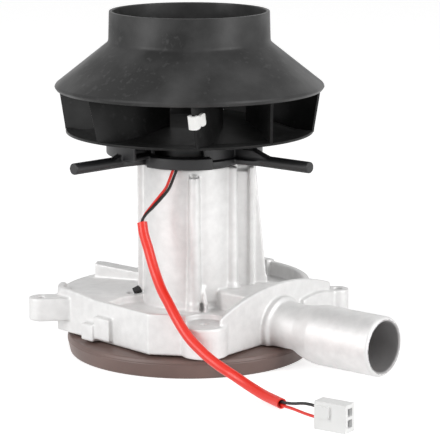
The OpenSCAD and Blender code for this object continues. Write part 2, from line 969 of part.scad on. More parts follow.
// Plan of one blade: a slice of a thin ring that leaves the rim near +X
module blade_outline() {
    intersection() {
        translate(blade_curve_at)
            difference() {
                circle(r = blade_curve_r + blade_t / 2, $fn = 180);
                circle(r = blade_curve_r - blade_t / 2, $fn = 180);
            }
        translate([10, -20]) square([60, 40]);
    }
}

// Shroud: round neck, sloping cone and a small beaded rim
module impeller_shroud() {
    color("#2f2f31")
        rotate_extrude($fn = fine)
            polygon([[impeller_r - 1.7, rim_z], [impeller_r - 1, rim_z], [impeller_r, rim_z + 1.1],
                [impeller_r, rim_z + 1.5], [impeller_r - 0.7, rim_z + 2.4], [inlet_r + 0.6, neck_z + 0.2],
                [inlet_r, neck_z + 1.2], [inlet_r, top_z - 0.3], [inlet_r - 0.3, top_z],
                [inlet_r - shroud_wall + 0.3, top_z], [inlet_r - shroud_wall, top_z - 0.3],
                [inlet_r - shroud_wall, neck_z + 0.6],
                [inlet_r - shroud_wall + 1.2, cone_z(inlet_r - shroud_wall + 1.2)],
                [impeller_r - shroud_wall, cone_z(impeller_r - shroud_wall)]]);
}

module impeller_insert() {
    color("goldenrod")
        tube(insert_r, shaft_r, hub_bottom_z, hub_top_z);
}

module impeller_washer() {
    color("silver")
        tube(insert_r + 1, shaft_r, hub_top_z, hub_top_z + washer_t);
}

module hex_nut(z) {
    difference() {
        upright(nut_af / 2 / cos(30), z, z + nut_h, 6);
        upright(shaft_r, z - over, z + nut_h + over);
    }
}

module impeller_nut() {
    color("silver")
        hex_nut(hub_top_z + washer_t);
}

// White spring clip that balances the impeller, pushed over the outer edge of the front blade
module balance_clip() {
    color("white")
        turned(blade_azimuths[2])
            translate([backplate_r + 2.2, 1.1, rim_z - 6.2])
                rotate([0, clip_tilt, clip_turn - blade_sweep])
                    difference() {
                        translate([-6, -2.3, -2.7]) cube([8, 4.6, 5.4]);
                        translate([-7, -blade_t / 2 - 0.15, -4])
                            cube([7.9, blade_t + 0.3, 8]);
                    }
}

// Side-channel wheel: a shallow dish with a rounded groove and radial vanes in its top
module combustion_wheel() {
    wheel_r = wheel_d / 2;
    foot_r = wheel_r - wheel_taper;
    color("#6e5f5a") {
        difference() {
            rotate_extrude($fn = fine)
                polygon([[foot_r - wheel_rim_w, 0], [foot_r - 1, 0], [foot_r, 1],
                    [wheel_r, wheel_edge_z], [wheel_r - 0.5, wheel_edge_z + 0.6],
                    [channel_r + channel_bore_r + 3, wheel_h], [channel_r - channel_bore_r - 3, wheel_h],
                    [channel_r - channel_bore_r - 6, wheel_h - 2.7], [hub_r + 1, wheel_h - 2.7],
                    [hub_r, wheel_h], [insert_r, wheel_h], [insert_r, hub_base_z], [hub_r, hub_base_z],
                    [hub_r + 1.5, wheel_web_z + 1.6], [channel_r - channel_bore_r - 4, wheel_web_z + 1.6],
                    [channel_r - channel_bore_r - 1, wheel_web_z], [foot_r - wheel_rim_w, wheel_web_z]]);
            translate([0, 0, wheel_h])
                rotate_extrude($fn = fine)
                    translate([channel_r, 0])
                        circle(r = channel_bore_r, $fn = medium);
        }
        intersection() {
            translate([0, 0, wheel_h])
                rotate_extrude($fn = fine)
                    translate([channel_r, 0])
                        circle(r = channel_bore_r + touch, $fn = medium);
            upright(far, 0, wheel_h);
            for (i = [1:vane_count])
                turned(360 / vane_count * i)
                    translate([channel_r - channel_bore_r - 1, -0.6, 0])
                        cube([2 * channel_bore_r + 2, 1.2, wheel_h + over]);
        }
    }
}

module wheel_insert() {
    color("goldenrod")
        tube(insert_r, shaft_r, hub_base_z, wheel_h);
}

module wheel_washer() {
    color("silver")
        tube(insert_r + 1.6, shaft_r, hub_base_z - washer_t, hub_base_z);
}

module wheel_nut() {
    color("silver")
        hex_nut(hub_base_z - washer_t - nut_h);
}

// Frames along a route, for the tubes that follow it
function unit(v) = v / norm(v);
function path_dir(p, i) = unit(p[min(i + 1, len(p) - 1)] - p[max(i - 1, 0)]);
function side_dir(t) = unit(wire_ref - (wire_ref * t) * t);
function ring(c, t, r, n) = let (u = side_dir(t), v = cross(t, u))
    [for (k = [0:n - 1]) c + r * (cos(360 * k / n) * u + sin(360 * k / n) * v)];
function ring_points(p, r, n) = [for (i = [0:len(p) - 1]) each ring(p[i], path_dir(p, i), r, n)];
function flank(i, k, n, base) = let (a = base + i * n + k, b = base + i * n + (k + 1) % n)
    [[a, b, b + n], [a, b + n, a + n]];
function flip(faces) = [for (f = faces) [f[2], f[1], f[0]]];

// A solid tube along a route
module swept(p, r, n) {
    last = (len(p) - 1) * n;
    sides = [for (i = [0:len(p) - 2]) for (k = [0:n - 1]) each flank(i, k, n, 0)];
    caps = [[for (k = [0:n - 1]) k], [for (k = [0:n - 1]) last + n - 1 - k]];
    polyhedron(points = ring_points(p, r, n), faces = concat(flip(sides), caps));
}

// A hollow tube along a route
module swept_sleeve(p, ro, ri, n) {
    inner = len(p) * n;
    last = (len(p) - 1) * n;
    outside = [for (i = [0:len(p) - 2]) for (k = [0:n - 1]) each flank(i, k, n, 0)];
    inside = [for (i = [0:len(p) - 2]) for (k = [0:n - 1]) each flank(i, k, n, inner)];
    first_end = [for (k = [0:n - 1]) each end_quad(0, k, n, inner)];
    last_end = [for (k = [0:n - 1]) each end_quad(last, k, n, inner)];
    polyhedron(points = concat(ring_points(p, ro, n), ring_points(p, ri, n)),
        faces = concat(flip(outside), inside, flip(first_end), last_end));
}

function end_quad(o, k, n, inner) = let (a = o + k, b = o + (k + 1) % n)
    [[b, a, a + inner], [b, a + inner, b + inner]];

// The two wires lie side by side and turn slowly round each other
function pair_point(i, side) =
    let (t = path_dir(route, i), u = side_dir(t), v = cross(t, u), a = twist_start + twist_step * i)
    route[i] + side * pair_half * (cos(a) * u + sin(a) * v);
function pair_path(side) = [for (i = [0:len(route) - 1]) pair_point(i, side)];
function plug_point(h) = [plug_corner[0], plug_corner[1], 0]
    + [wire_inset * cos(plug_az) - plug_w / 2 * sin(plug_az),
        wire_inset * sin(plug_az) + plug_w / 2 * cos(plug_az), h];

module red_wire() {
    color("red")
        swept(concat(red_start, pair_path(1), red_end, [plug_point(pin_heights[0])]), wire_r, wire_sides);
}

module black_wire() {
    color("#151515")
        swept(concat(black_start, pair_path(-1), black_end, [plug_point(pin_heights[1])]), wire_r, wire_sides);
}

module lead_sleeve() {
    color("tomato")
        swept_sleeve([for (i = [sleeve_first:len(route) - 1]) route[i]], sleeve_r, sleeve_r - sleeve_wall,
            sleeve_sides);
}

module connector_housing() {
    color("white")
        translate([plug_corner[0], plug_corner[1], 0])
            turned(plug_az)
                difference() {
                    union() {
                        cube([plug_len, plug_w, plug_h]);
                        // Latch on the upper part of the front face
                        translate([1.2, -1.3, 5]) cube([5.6, 1.5, 4.6]);
                        translate([3, plug_w - 0.2, 2.2]) cube([8, 0.8, 1.2]);
                        translate([3, plug_w - 0.2, 7.6]) cube([8, 0.8, 1.2]);
                    }
                    for (h = pin_heights)
                        translate([-over, (plug_w - cavity) / 2, h - cavity / 2])
                            cube([plug_len + 2 * over, cavity, cavity]);
                }
}

module crimp_contacts() {
    color("silver")
        translate([plug_corner[0], plug_corner[1], 0])
            turned(plug_az)
                for (h = pin_heights)
                    translate([contact_inset, plug_w / 2, h]) {
                        rotate([0, 90, 0]) cylinder(r = 0.9, h = 3, $fn = small);
                        translate([2.6, -1.2, -cavity / 2]) cube([8.6, 2.4, 2.6]);
                    }
}

blower_housing();
motor_tower();
drain_plug();
shaft_seal();
motor_screws();
motor_can();
field_magnets();
lower_bearing();
upper_bearing();
end_bell();
brushes();
brush_springs();
motor_terminals();
arm_cap();
motor_shaft();
shaft_spacers();
armature_core();
armature_windings();
commutator();
impeller_backplate();
impeller_blades();
impeller_shroud();
impeller_insert();
impeller_washer();
impeller_nut();
balance_clip();
combustion_wheel();
wheel_insert();
wheel_washer();
wheel_nut();
red_wire();
black_wire();
lead_sleeve();
connector_housing();
crimp_contacts();
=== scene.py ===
"""Looks of a double-ended DC blower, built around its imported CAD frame. Metres, +Z up."""

import math

import bmesh
import bpy
from bpy.props import FloatProperty, FloatVectorProperty, IntProperty, PointerProperty
from mathutils import Matrix, Vector


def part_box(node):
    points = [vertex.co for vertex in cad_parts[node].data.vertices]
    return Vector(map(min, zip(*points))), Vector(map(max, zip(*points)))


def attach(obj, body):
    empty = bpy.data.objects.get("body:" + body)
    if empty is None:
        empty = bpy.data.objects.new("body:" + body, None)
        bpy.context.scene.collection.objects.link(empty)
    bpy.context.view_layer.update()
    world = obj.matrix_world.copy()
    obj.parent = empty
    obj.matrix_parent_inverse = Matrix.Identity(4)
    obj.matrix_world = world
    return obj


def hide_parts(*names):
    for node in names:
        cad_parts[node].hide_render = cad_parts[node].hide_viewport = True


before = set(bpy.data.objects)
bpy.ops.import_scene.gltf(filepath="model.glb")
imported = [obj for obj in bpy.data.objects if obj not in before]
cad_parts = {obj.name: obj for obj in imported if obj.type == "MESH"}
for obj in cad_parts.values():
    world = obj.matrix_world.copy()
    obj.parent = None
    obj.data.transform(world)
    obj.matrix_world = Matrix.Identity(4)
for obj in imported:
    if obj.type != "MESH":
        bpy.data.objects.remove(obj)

bl_info = {
    "name": "DC blower looks",
    "version": (1, 0, 0),
    "blender": (4, 5, 0),
    "location": "View3D > Sidebar > Blower",
    "description": "Dresses a double-ended DC blower: impeller, casting, wheel, lead and studio",
    "category": "Object",
}

MM = 0.001
HOUSING = "housing"
ROTOR = "rotor"

# Lead, in metres. The pair's route runs from the motor's terminals to the end of the red sleeve,
# which covers it from one of its points on.
LEAD_ROUTE = [
    (-0.0046, -0.0170, 0.0822), (-0.0054, -0.0207, 0.0820), (-0.0066, -0.0220, 0.0792),
    (-0.0088, -0.0238, 0.0740), (-0.0120, -0.0248, 0.0700), (-0.0154, -0.0262, 0.0662),
    (-0.0180, -0.0280, 0.0634), (-0.0192, -0.0298, 0.0606), (-0.0184, -0.0318, 0.0560),
    (-0.0166, -0.0338, 0.0504), (-0.0149, -0.0362, 0.0448), (-0.0130, -0.0392, 0.0396),
    (-0.0109, -0.0432, 0.0352), (-0.0082, -0.0478, 0.0312), (-0.0054, -0.0524, 0.0268),
    (-0.0022, -0.0566, 0.0223), (0.0012, -0.0598, 0.0184), (0.0048, -0.0626, 0.0153),
    (0.0084, -0.0654, 0.0126), (0.0124, -0.0682, 0.0102), (0.0182, -0.0718, 0.0072),
    (0.0240, -0.0772, 0.0046), (0.0294, -0.0842, 0.0030), (0.0334, -0.0900, 0.0025),
    (0.0366, -0.0956, 0.0025),
]
SLEEVE_FIRST = 7
RED_START = (-0.0090, -0.0086, 0.0804)
BLACK_START = (0.0034, -0.0116, 0.0804)
RED_END = [(0.0406, -0.1024, 0.0024), (0.0454, -0.1108, 0.0028)]
BLACK_END = [(0.0404, -0.1022, 0.0044), (0.0452, -0.1106, 0.0068)]
PAIR_GAP = 0.12 * MM
WIRE_SIDES = 16
SLEEVE_SIDES = 32

# How far the pair is turned at its start and from point to point, and the side that its turns count from
TWIST_START = math.radians(180)
TWIST_STEP = math.radians(18.75)
WIRE_SIDE = Vector((0.8, 0.6, 0))

# Connector, in metres: its corner, width and turn, and where the wires meet its contacts
PLUG_CORNER = (0.048, -0.1212, 0)
PLUG_W = 0.0064
PLUG_ANGLE = math.radians(-34)
PIN_HEIGHTS = (0.0034, 0.0078)
WIRE_INSET = 0.0009

# Impeller, in millimetres as in the CAD part
IMPELLER_R = 56.5
INLET_R = 33.5
SHROUD_WALL = 1.4
NECK_H = 13.4
CONE_SLOPE = 17.8 / 21.8
CONE_START = 0.8
HUB_DROP = 3.0
BACKPLATE_T = 1.1
DOME_RISE = 6
DOME_R = 28
DOME_FOOT_W = 16
INSERT_R = 4.1

# Blades: an arc of a circle that passes through BLADE_OUT_R, leaning out over its last stretch
TIP_REACH = 2.8
BLADE_T = 1.2
BLADE_R = 62
BLADE_OUT_R = 55.6
BLADE_SWEEP = math.radians(38)
BLADE_CENTRE = (BLADE_OUT_R - BLADE_R * math.sin(BLADE_SWEEP), -BLADE_R * math.cos(BLADE_SWEEP))
BLADE_IN_R = 26
BLADE_DIP = 8
BLADE_STEPS = 28
TIP_STEPS = 14
BLADE_ANGLES = [-185, -138, -89, -53, -11, 35, 82, 128]

# Balance clip on the front blade: where it sits, how it turns, and its half height along its length
CLIP_BLADE = 2
CLIP_PLACE = (54.2, 1.1)
CLIP_DROP = 6.2
CLIP_TILT = math.radians(10)
CLIP_TURN = math.radians(4)
CLIP_BEND_R = 1.5
CLIP_BULGE = 0.5
CLIP_WALL = 0.65
CLIP_STEPS = 12
CLIP_HALF_HEIGHTS = [(-6, 1.9), (-5.5, 2.5), (-3.4, 2.5), (-2.7, 1.9), (-2, 2.2), (-1.4, 2.7), (2.3, 2.7)]

# Side-channel wheel and its vanes, in millimetres as in the CAD part
WHEEL_TAPER = 1.45
WHEEL_EDGE_Z = 6.2
CHANNEL_R = 36
CHANNEL_BORE_R = 5.2
CHANNEL_STEPS = 16
HUB_R = 9
HUB_BASE_Z = 4
WEB_Z = 1.8
VANE_T = 1.2
VANE_STEPS = 12

# Casting, in millimetres as in the CAD part: the spigot, and heights of its floor, deck, duct and block
SPIGOT_ANGLE = math.radians(-40)
SPIGOT_OFFSET = 7
SPIGOT_Z = 15
# Where the painted shade inside the spigot's bore reaches: its radius, and how far along the spigot it
# starts
BORE_SHADE_R = 11.3
BORE_SHADE_FROM = 46
FLOOR_Z = 20.9
DECK_Z = 24.3
DUCT_TOP_Z = 28.7
BLOCK_Z = 32

# Duct beside the tower, in plan along and across the spigot's direction: its front face and its roof
DUCT_FACE = [(21.5, -5.2), (40.9, -5.2), (40.9, -12), (13, -14)]
DUCT_FACE_ARC = (-38, -11.6)
DUCT_ROOF = [(11, -12), (40.9, -12), (40.9, 25.5), (11, 25.5)]

# Foot of the tower in plan: its wall, its right boss with a collar, and the corners of its fin and ribs.
# FULL_ARC stops about one step before a whole turn, so that its outline closes there.
TOWER_R = 19.5
TOWER_WALL = 1.7
FOOT_ARC = (-80, 40)
BOSS_AZ = -26
BOSS_PLACE = (17.8, -8.68)
BOSS_R = 2.75
COLLAR_WALL = 1.4
COLLAR_H = 3
COLLAR_ARC = (BOSS_AZ - 95, BOSS_AZ + 95)
BOSS_FILLET = 0.6
FULL_ARC = (0, 345)
RIB_CORNERS = [(18.2, -1.2, 32.9, 1.2), (24.9, -4.6, 27, 0), (18.2, -3.4, 24.4, -1)]

# Outlet's deck and wall, and the gusset at the tower's front, in plan with the height over each corner
OUTLET_AREA = [(-43, 26.9), (-16, 17.8), (-16, 60), (-60, 60)]
OUTLET_WALL = [(-42.2, 27.4), (-17, 18.8), (-17, 27), (-38.3, 34.5), (-41.6, 33.4)]
OUTLET_WALL_TOPS = (30.9, 27.8, 27.9, 30.5, 30.8)
GUSSET = [(4.9, -17.5), (5.4, -18.9), (6.6, -22.9), (7.9, -22.5), (6.7, -18.5), (6.2, -17.1)]
GUSSET_TOPS = (31.3, 31.3, 24.4, 24.4, 31.3, 31.3)

# Left wall of the base: its round and its flat, its rim's height at each angle, and the groove behind
WALL_X = -2.5
WALL_R = 54
LEFT_FLAT = 44.5
LEFT_FLAT_AZ = math.radians(-136.8)
RIM_WALL = 2.6
RIM_INSET = 0.05
RIM_ANGLES = (171, 176, 182, 188, 194, 200, 206, 212)
RIM_TOPS = (27.1, 27.4, 27.7, 27.9, 27.8, 27.3, 26.7, 26.25)
GROOVE_W = 2.6
GROOVE_Z = 22

# Corners closer than this are merged before a shape is cut
WELD = 0.0001 * MM

# Studio: the camera that the photo's geometry gives, with its lens in millimetres, and two softboxes
CAMERA_PLACE = (0.01273, -0.93802, 0.24392)
CAMERA_PITCH = math.radians(11.345)
CAMERA_LENS = 184.8
CAMERA_SENSOR = 36
SOFTBOX_PLACE = Vector((0.84, -0.56, 0.47))
SOFTBOX_TARGET = Vector((0, 0, 0.07))
SOFTBOX_SIZE = (0.5, 0.8)
STUDIO_FLOOR_R = 6
STUDIO_FLOOR_DROP = 0.02 * MM
WHITE = (1, 1, 1, 1)


class ImpellerSettings(bpy.types.PropertyGroup):
    """Finish of the impeller and its balance clip"""

    colour: FloatVectorProperty(
        name="Plastic", description="Colour of the black plastic where it is clean",
        subtype="COLOR", default=(0.014, 0.014, 0.014))
    scuffed: FloatVectorProperty(
        name="Scuffs", description="Colour of the plastic where it is scuffed",
        subtype="COLOR", default=(0.06, 0.06, 0.06))
    roughness: FloatProperty(
        name="Roughness", description="How dull the plastic is", default=0.4, min=0, max=1)
    gloss: FloatProperty(
        name="Gloss", description="Strength of the plastic's reflection", default=0.25, min=0, max=1)
    edge: FloatProperty(
        name="Edge radius", description="Radius that edges seem to have",
        default=0.3 * MM, min=0, unit="LENGTH")
    clip: FloatVectorProperty(
        name="Clip", description="Colour of the balance clip",
        subtype="COLOR", default=(0.92, 0.92, 0.9))


class HousingSettings(bpy.types.PropertyGroup):
    """Finish and skin of the casting"""

    colour: FloatVectorProperty(
        name="Cast metal", description="Colour of the casting",
        subtype="COLOR", default=(0.8, 0.795, 0.79))
    # Painted shade: a darker colour for the metal inside the spigot's bore
    bore: FloatVectorProperty(
        name="Bore", description="Colour of the metal inside the spigot",
        subtype="COLOR", default=(0.4, 0.39, 0.39))
    roughness: FloatProperty(
        name="Roughness", description="How dull the metal is", default=0.5, min=0, max=1)
    edge: FloatProperty(
        name="Edge radius", description="Radius that edges seem to have",
        default=0.7 * MM, min=0, unit="LENGTH")
    voxel: FloatProperty(
        name="Skin detail", description="Smallest detail that the moulded skin keeps",
        default=0.45 * MM, min=0.3 * MM, unit="LENGTH")
    soften: IntProperty(
        name="Softening", description="How many times the skin is smoothed", default=6, min=0, max=20)
    kept: FloatProperty(
        name="Faces kept", description="Share of the faces that stay", default=0.2, min=0.02, max=1)


class CapSettings(bpy.types.PropertyGroup):
    """Finish and skin of the cap"""

    colour: FloatVectorProperty(
        name="Plastic", description="Colour of the cap and its arms",
        subtype="COLOR", default=(0.012, 0.012, 0.013))
    roughness: FloatProperty(
        name="Roughness", description="How dull the plastic is", default=0.45, min=0, max=1)
    edge: FloatProperty(
        name="Edge radius", description="Radius that edges seem to have",
        default=0.4 * MM, min=0, unit="LENGTH")
    voxel: FloatProperty(
        name="Skin detail", description="Smallest detail that the moulded skin keeps",
        default=0.3 * MM, min=0.2 * MM, unit="LENGTH")
    soften: IntProperty(
        name="Softening", description="How many times the skin is smoothed", default=4, min=0, max=20)
    kept: FloatProperty(
        name="Faces kept", description="Share of the faces that stay", default=0.25, min=0.02, max=1)


class WheelSettings(bpy.types.PropertyGroup):
    """Finish of the side-channel wheel, and how many vanes it has"""

    colour: FloatVectorProperty(
        name="Resin", description="Colour of the brown resin",
        subtype="COLOR", default=(0.165, 0.108, 0.094))
    roughness: FloatProperty(
        name="Roughness", description="How dull the resin is", default=0.45, min=0, max=1)
    edge: FloatProperty(
        name="Edge radius", description="Radius that edges seem to have",
        default=0.3 * MM, min=0, unit="LENGTH")
    vanes: IntProperty(
        name="Vanes", description="Number of vanes in the channel", default=30, min=3, max=60)


class LeadSettings(bpy.types.PropertyGroup):
    """Sizes and colours of the two wires and their sleeve"""

    wire: FloatProperty(
        name="Wire diameter", description="Diameter over a wire's insulation",
        default=1.2 * MM, min=0.5 * MM, unit="LENGTH")
    sleeve: FloatProperty(
        name="Sleeve diameter", description="Outer diameter of the sleeve",
        default=4.2 * MM, min=2 * MM, unit="LENGTH")
    sleeve_wall: FloatProperty(
        name="Sleeve wall", description="Thickness of the sleeve's wall",
        default=0.5 * MM, min=0.2 * MM, unit="LENGTH")
    red: FloatVectorProperty(
        name="Red", description="Colour of the red wire and the sleeve",
        subtype="COLOR", default=(0.9, 0.035, 0.02))
    black: FloatVectorProperty(
        name="Black", description="Colour of the black wire",
        subtype="COLOR", default=(0.004, 0.004, 0.004))
    steps: IntProperty(
        name="Steps", description="Rings of the tubes from one point of the route to the next",
        default=6, min=1, max=12)


class FinishSettings(bpy.types.PropertyGroup):
    """Colours of the pieces that keep the shape the CAD part gives them"""

    nylon: FloatVectorProperty(
        name="Nylon", description="Colour of the connector",
        subtype="COLOR", default=(0.88, 0.88, 0.87))
    rubber: FloatVectorProperty(
        name="Rubber", description="Colour of the plug and the shaft's seal",
        subtype="COLOR", default=(0.02, 0.02, 0.02))
    bell: FloatVectorProperty(
        name="Bell plastic", description="Colour of the motor's end bell",
        subtype="COLOR", default=(0.03, 0.03, 0.03))
    steel: FloatVectorProperty(
        name="Steel", description="Colour of the shaft, bearings, screws, nuts and motor can",
        subtype="COLOR", default=(0.6, 0.6, 0.62))
    brass: FloatVectorProperty(
        name="Brass", description="Colour of the wheels' inserts and the motor's terminals",
        subtype="COLOR", default=(0.8, 0.6, 0.3))
    copper: FloatVectorProperty(
        name="Copper", description="Colour of the windings, commutator and brush springs",
        subtype="COLOR", default=(0.8, 0.4, 0.25))
    laminations: FloatVectorProperty(
        name="Laminations", description="Colour of the armature's core",
        subtype="COLOR", default=(0.35, 0.35, 0.37))
    ferrite: FloatVectorProperty(
        name="Ferrite", description="Colour of the magnets and brushes",
        subtype="COLOR", default=(0.06, 0.06, 0.065))


class StageSettings(bpy.types.PropertyGroup):
    """Brightness of the white studio"""

    background: FloatProperty(
        name="Background", description="Brightness of the background as it is seen", default=1.0, min=0)
    floor: FloatProperty(
        name="Floor", description="How much the floor is whitened as it is seen", default=0.67, min=0)
    ambient: FloatProperty(
        name="Ambient light", description="Light that comes from all sides", default=0.29, min=0)
    left: FloatProperty(
        name="Left softbox", description="Power of the left softbox in watts", default=6.7, min=0)
    right: FloatProperty(
        name="Right softbox", description="Power of the right softbox in watts", default=6.7, min=0)


def settings(name):
    """The scene's settings for one group of pieces."""
    return getattr(bpy.context.scene, "blower_" + name)


# Materials


def shader(name, colour, roughness, metallic=0.0):
    """A material with one Principled node, and that node."""
    material = bpy.data.materials.new(name)
    material.use_nodes = True
    node = material.node_tree.nodes["Principled BSDF"]
    node.inputs["Base Color"].default_value = (*colour, 1)
    node.inputs["Roughness"].default_value = roughness
    node.inputs["Metallic"].default_value = metallic
    material.diffuse_color = (*colour, 1)
    return material, node


def noise(material, scale, detail=4.0):
    """Noise in the object's own coordinates: returns its output socket."""
    tree = material.node_tree
    place = tree.nodes.new("ShaderNodeTexCoord")
    texture = tree.nodes.new("ShaderNodeTexNoise")
    texture.inputs["Scale"].default_value = scale
    texture.inputs["Detail"].default_value = detail
    tree.links.new(place.outputs["Object"], texture.inputs["Vector"])
    return texture.outputs["Fac"]


def remap(material, source, low, high, start=0.3, end=0.7):
    """Spreads a value between start and end over low to high: returns its output socket."""
    tree = material.node_tree
    node = tree.nodes.new("ShaderNodeMapRange")
    node.inputs["From Min"].default_value = start
    node.inputs["From Max"].default_value = end
    node.inputs["To Min"].default_value = low
    node.inputs["To Max"].default_value = high
    tree.links.new(source, node.inputs["Value"])
    return node.outputs["Result"]


def mottle(material, node, colour, spread, scale):
    """Lets the base colour wander between a darker and a lighter tone of itself."""
    tree = material.node_tree
    mix = tree.nodes.new("ShaderNodeMix")
    mix.data_type = "RGBA"
    mix.inputs["A"].default_value = (*[c * (1 - spread) for c in colour], 1)
    mix.inputs["B"].default_value = (*[min(1, c * (1 + spread)) for c in colour], 1)
    tree.links.new(remap(material, noise(material, scale), 0, 1), mix.inputs["Factor"])
    tree.links.new(mix.outputs["Result"], node.inputs["Base Color"])


def relief(material, node, scale, height, edge=0.0):
    """Fine surface grain, over rounded edges where an edge radius is given."""
    tree = material.node_tree
    bump = tree.nodes.new("ShaderNodeBump")
    bump.inputs["Strength"].default_value = 1
    bump.inputs["Distance"].default_value = height
    tree.links.new(noise(material, scale, detail=6), bump.inputs["Height"])
    if edge:
        soft_edge = tree.nodes.new("ShaderNodeBevel")
        soft_edge.samples = 6
        soft_edge.inputs["Radius"].default_value = edge
        tree.links.new(soft_edge.outputs["Normal"], bump.inputs["Normal"])
    tree.links.new(bump.outputs["Normal"], node.inputs["Normal"])


def scuffs(material, node, colour, scuffed):
    """Broad pale scuffs and fine specks over a dark colour."""
    tree = material.node_tree
    broad = remap(material, noise(material, scale=38, detail=8), low=0, high=1, start=0.42, end=0.72)
    fine = remap(material, noise(material, scale=420, detail=3), low=0, high=0.6, start=0.56, end=0.74)
    both = tree.nodes.new("ShaderNodeMath")
    both.operation = "MAXIMUM"
    tree.links.new(broad, both.inputs[0])
    tree.links.new(fine, both.inputs[1])
    mix = tree.nodes.new("ShaderNodeMix")
    mix.data_type = "RGBA"
    mix.inputs["A"].default_value = (*colour, 1)
    mix.inputs["B"].default_value = (*scuffed, 1)
    tree.links.new(both.outputs[0], mix.inputs["Factor"])
    tree.links.new(mix.outputs["Result"], node.inputs["Base Color"])


def impeller_plastic(name, painted_shade_factor=1.0):
    """Scuffed black plastic; its dimming factor scales the colours and gloss down, as painted shade for
    the parts inside the impeller.
    """
    chosen = settings("impeller")
    colour = [c * painted_shade_factor for c in chosen.colour]
    scuffed = [c * painted_shade_factor for c in chosen.scuffed]
    material, node = shader(name, colour, chosen.roughness)
    node.inputs["Specular IOR Level"].default_value = chosen.gloss * painted_shade_factor
    dull, duller = chosen.roughness - 0.08, chosen.roughness + 0.12
    roughness = remap(material, noise(material, scale=45), dull, duller)
    material.node_tree.links.new(roughness, node.inputs["Roughness"])
    scuffs(material, node, colour, scuffed)
    relief(material, node, scale=700, height=0.03 * MM, edge=chosen.edge)
    return material


def cast_metal(name, colour):
    """Matt aluminium with a sandy grain."""
    chosen = settings("housing")
    material, node = shader(name, colour, chosen.roughness, metallic=0.35)
    mottle(material, node, colour, spread=0.05, scale=260)
    relief(material, node, scale=1500, height=0.05 * MM, edge=chosen.edge)
    return material


def cap_plastic():
    chosen = settings("cap")
    material, node = shader("cap_plastic", chosen.colour, chosen.roughness)
    relief(material, node, scale=900, height=0.02 * MM, edge=chosen.edge)
    return material


def wheel_resin():
    chosen = settings("wheel")
    material, node = shader("wheel_resin", chosen.colour, chosen.roughness)
    mottle(material, node, chosen.colour, spread=0.12, scale=70)
    relief(material, node, scale=900, height=0.02 * MM, edge=chosen.edge)
    return material


def metal(name, colour, roughness):
    """Bare metal with fine machining grain."""
    material, node = shader(name, colour, roughness, metallic=1.0)
    relief(material, node, scale=2500, height=0.01 * MM)
    return material


def plain(name, colour, roughness):
    """Plastic, rubber or another dull material with a fine grain."""
    material, node = shader(name, colour, roughness)
    relief(material, node, scale=1200, height=0.01 * MM)
    return material


def paint(material, *nodes):
    """Gives CAD nodes this material."""
    for name in nodes:
        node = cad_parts[name]
        node.data.materials.clear()
        node.data.materials.append(material)


# Meshes


def loose_shape(name, bm):
    """An object with the bmesh's shape; the bmesh is used up."""
    mesh = bpy.data.meshes.new(name)
    bm.normal_update()
    bm.to_mesh(mesh)
    bm.free()
    shape = bpy.data.objects.new(name, mesh)
    bpy.context.scene.collection.objects.link(shape)
    return shape


def finish_piece(name, bm, material, body, replaces, smooth=35):
    """Turns a bmesh into a piece that rides on a body and stands for CAD nodes."""
    piece = loose_shape(name, bm)
    piece.data.materials.append(material)
    piece.data.shade_smooth()
    piece.data.set_sharp_from_angle(angle=math.radians(smooth))
    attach(piece, body)
    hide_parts(*replaces)
    return piece


def curve_point(points, t):
    """Point at t on the smooth curve through the points, where t counts them."""
    i = min(int(t), len(points) - 2)
    u = t - i
    p1, p2 = points[i], points[i + 1]
    p0 = points[i - 1] if i else 2 * p1 - p2
    p3 = points[i + 2] if i + 2 < len(points) else 2 * p2 - p1
    return 0.5 * (2 * p1 + (p2 - p0) * u + (2 * p0 - 5 * p1 + 4 * p2 - p3) * u * u
                  + (3 * p1 - p0 - 3 * p2 + p3) * u * u * u)


def smooth_path(points, steps):
    """The smooth curve through the points, in even steps from each to the next."""
    points = [Vector(p) for p in points]
    count = (len(points) - 1) * steps
    return [curve_point(points, i / steps) for i in range(count + 1)]


def across(direction):
    """Two unit vectors square to a direction, by the rule that the CAD tubes follow."""
    side = (WIRE_SIDE - WIRE_SIDE.dot(direction) * direction).normalized()
    return side, direction.cross(side)


def direction_at(path, i):
    """The direction of a path at one of its points."""
    return (path[min(i + 1, len(path) - 1)] - path[max(i - 1, 0)]).normalized()


def add_skin(bm, loops, closed_ends=True, inward=False):
    """Skins a run of loops of points, with a face over each end; returns the rings of corners."""
    rings = [[bm.verts.new(point) for point in loop] for loop in loops]
    if closed_ends:
        bm.faces.new(rings[0][::-1])
        bm.faces.new(rings[-1])
    for here, after in zip(rings, rings[1:]):
        for k in range(len(here)):
            m = (k + 1) % len(here)
            corners = [here[k], here[m], after[m], after[k]]
            bm.faces.new(corners[::-1] if inward else corners)
    return rings


def skinned(loops):
    """A closed bmesh over a run of loops of points."""
    bm = bmesh.new()
    add_skin(bm, loops)
    bmesh.ops.recalc_face_normals(bm, faces=bm.faces)
    return bm


def add_tube(bm, path, radius, sides, closed_ends=True, inward=False):
    """A round tube along a path; returns its rings of corners."""
    turn = [2 * math.pi * k / sides for k in range(sides)]
    loops = []
    for i, point in enumerate(path):
        u, v = across(direction_at(path, i))
        loops.append([point + radius * (math.cos(a) * u + math.sin(a) * v) for a in turn])
    return add_skin(bm, loops, closed_ends, inward)


def rounded(corners, steps):
    """Closed outline whose corners, each a place and a radius, are rounded."""
    outline = []
    for i, (x, y, radius) in enumerate(corners):
        here = Vector((x, y))
        before = Vector(corners[i - 1][:2]) - here
        after = Vector(corners[(i + 1) % len(corners)][:2]) - here
        if not radius:
            outline.append(here)
            continue
        reach = radius / math.tan(before.angle(after) / 2)
        reach = min(reach, 0.49 * before.length, 0.49 * after.length)
        start = here + before.normalized() * reach
        end = here + after.normalized() * reach
        for k in range(steps + 1):
            t = k / steps
            outline.append((1 - t) ** 2 * start + 2 * t * (1 - t) * here + t * t * end)
    return outline


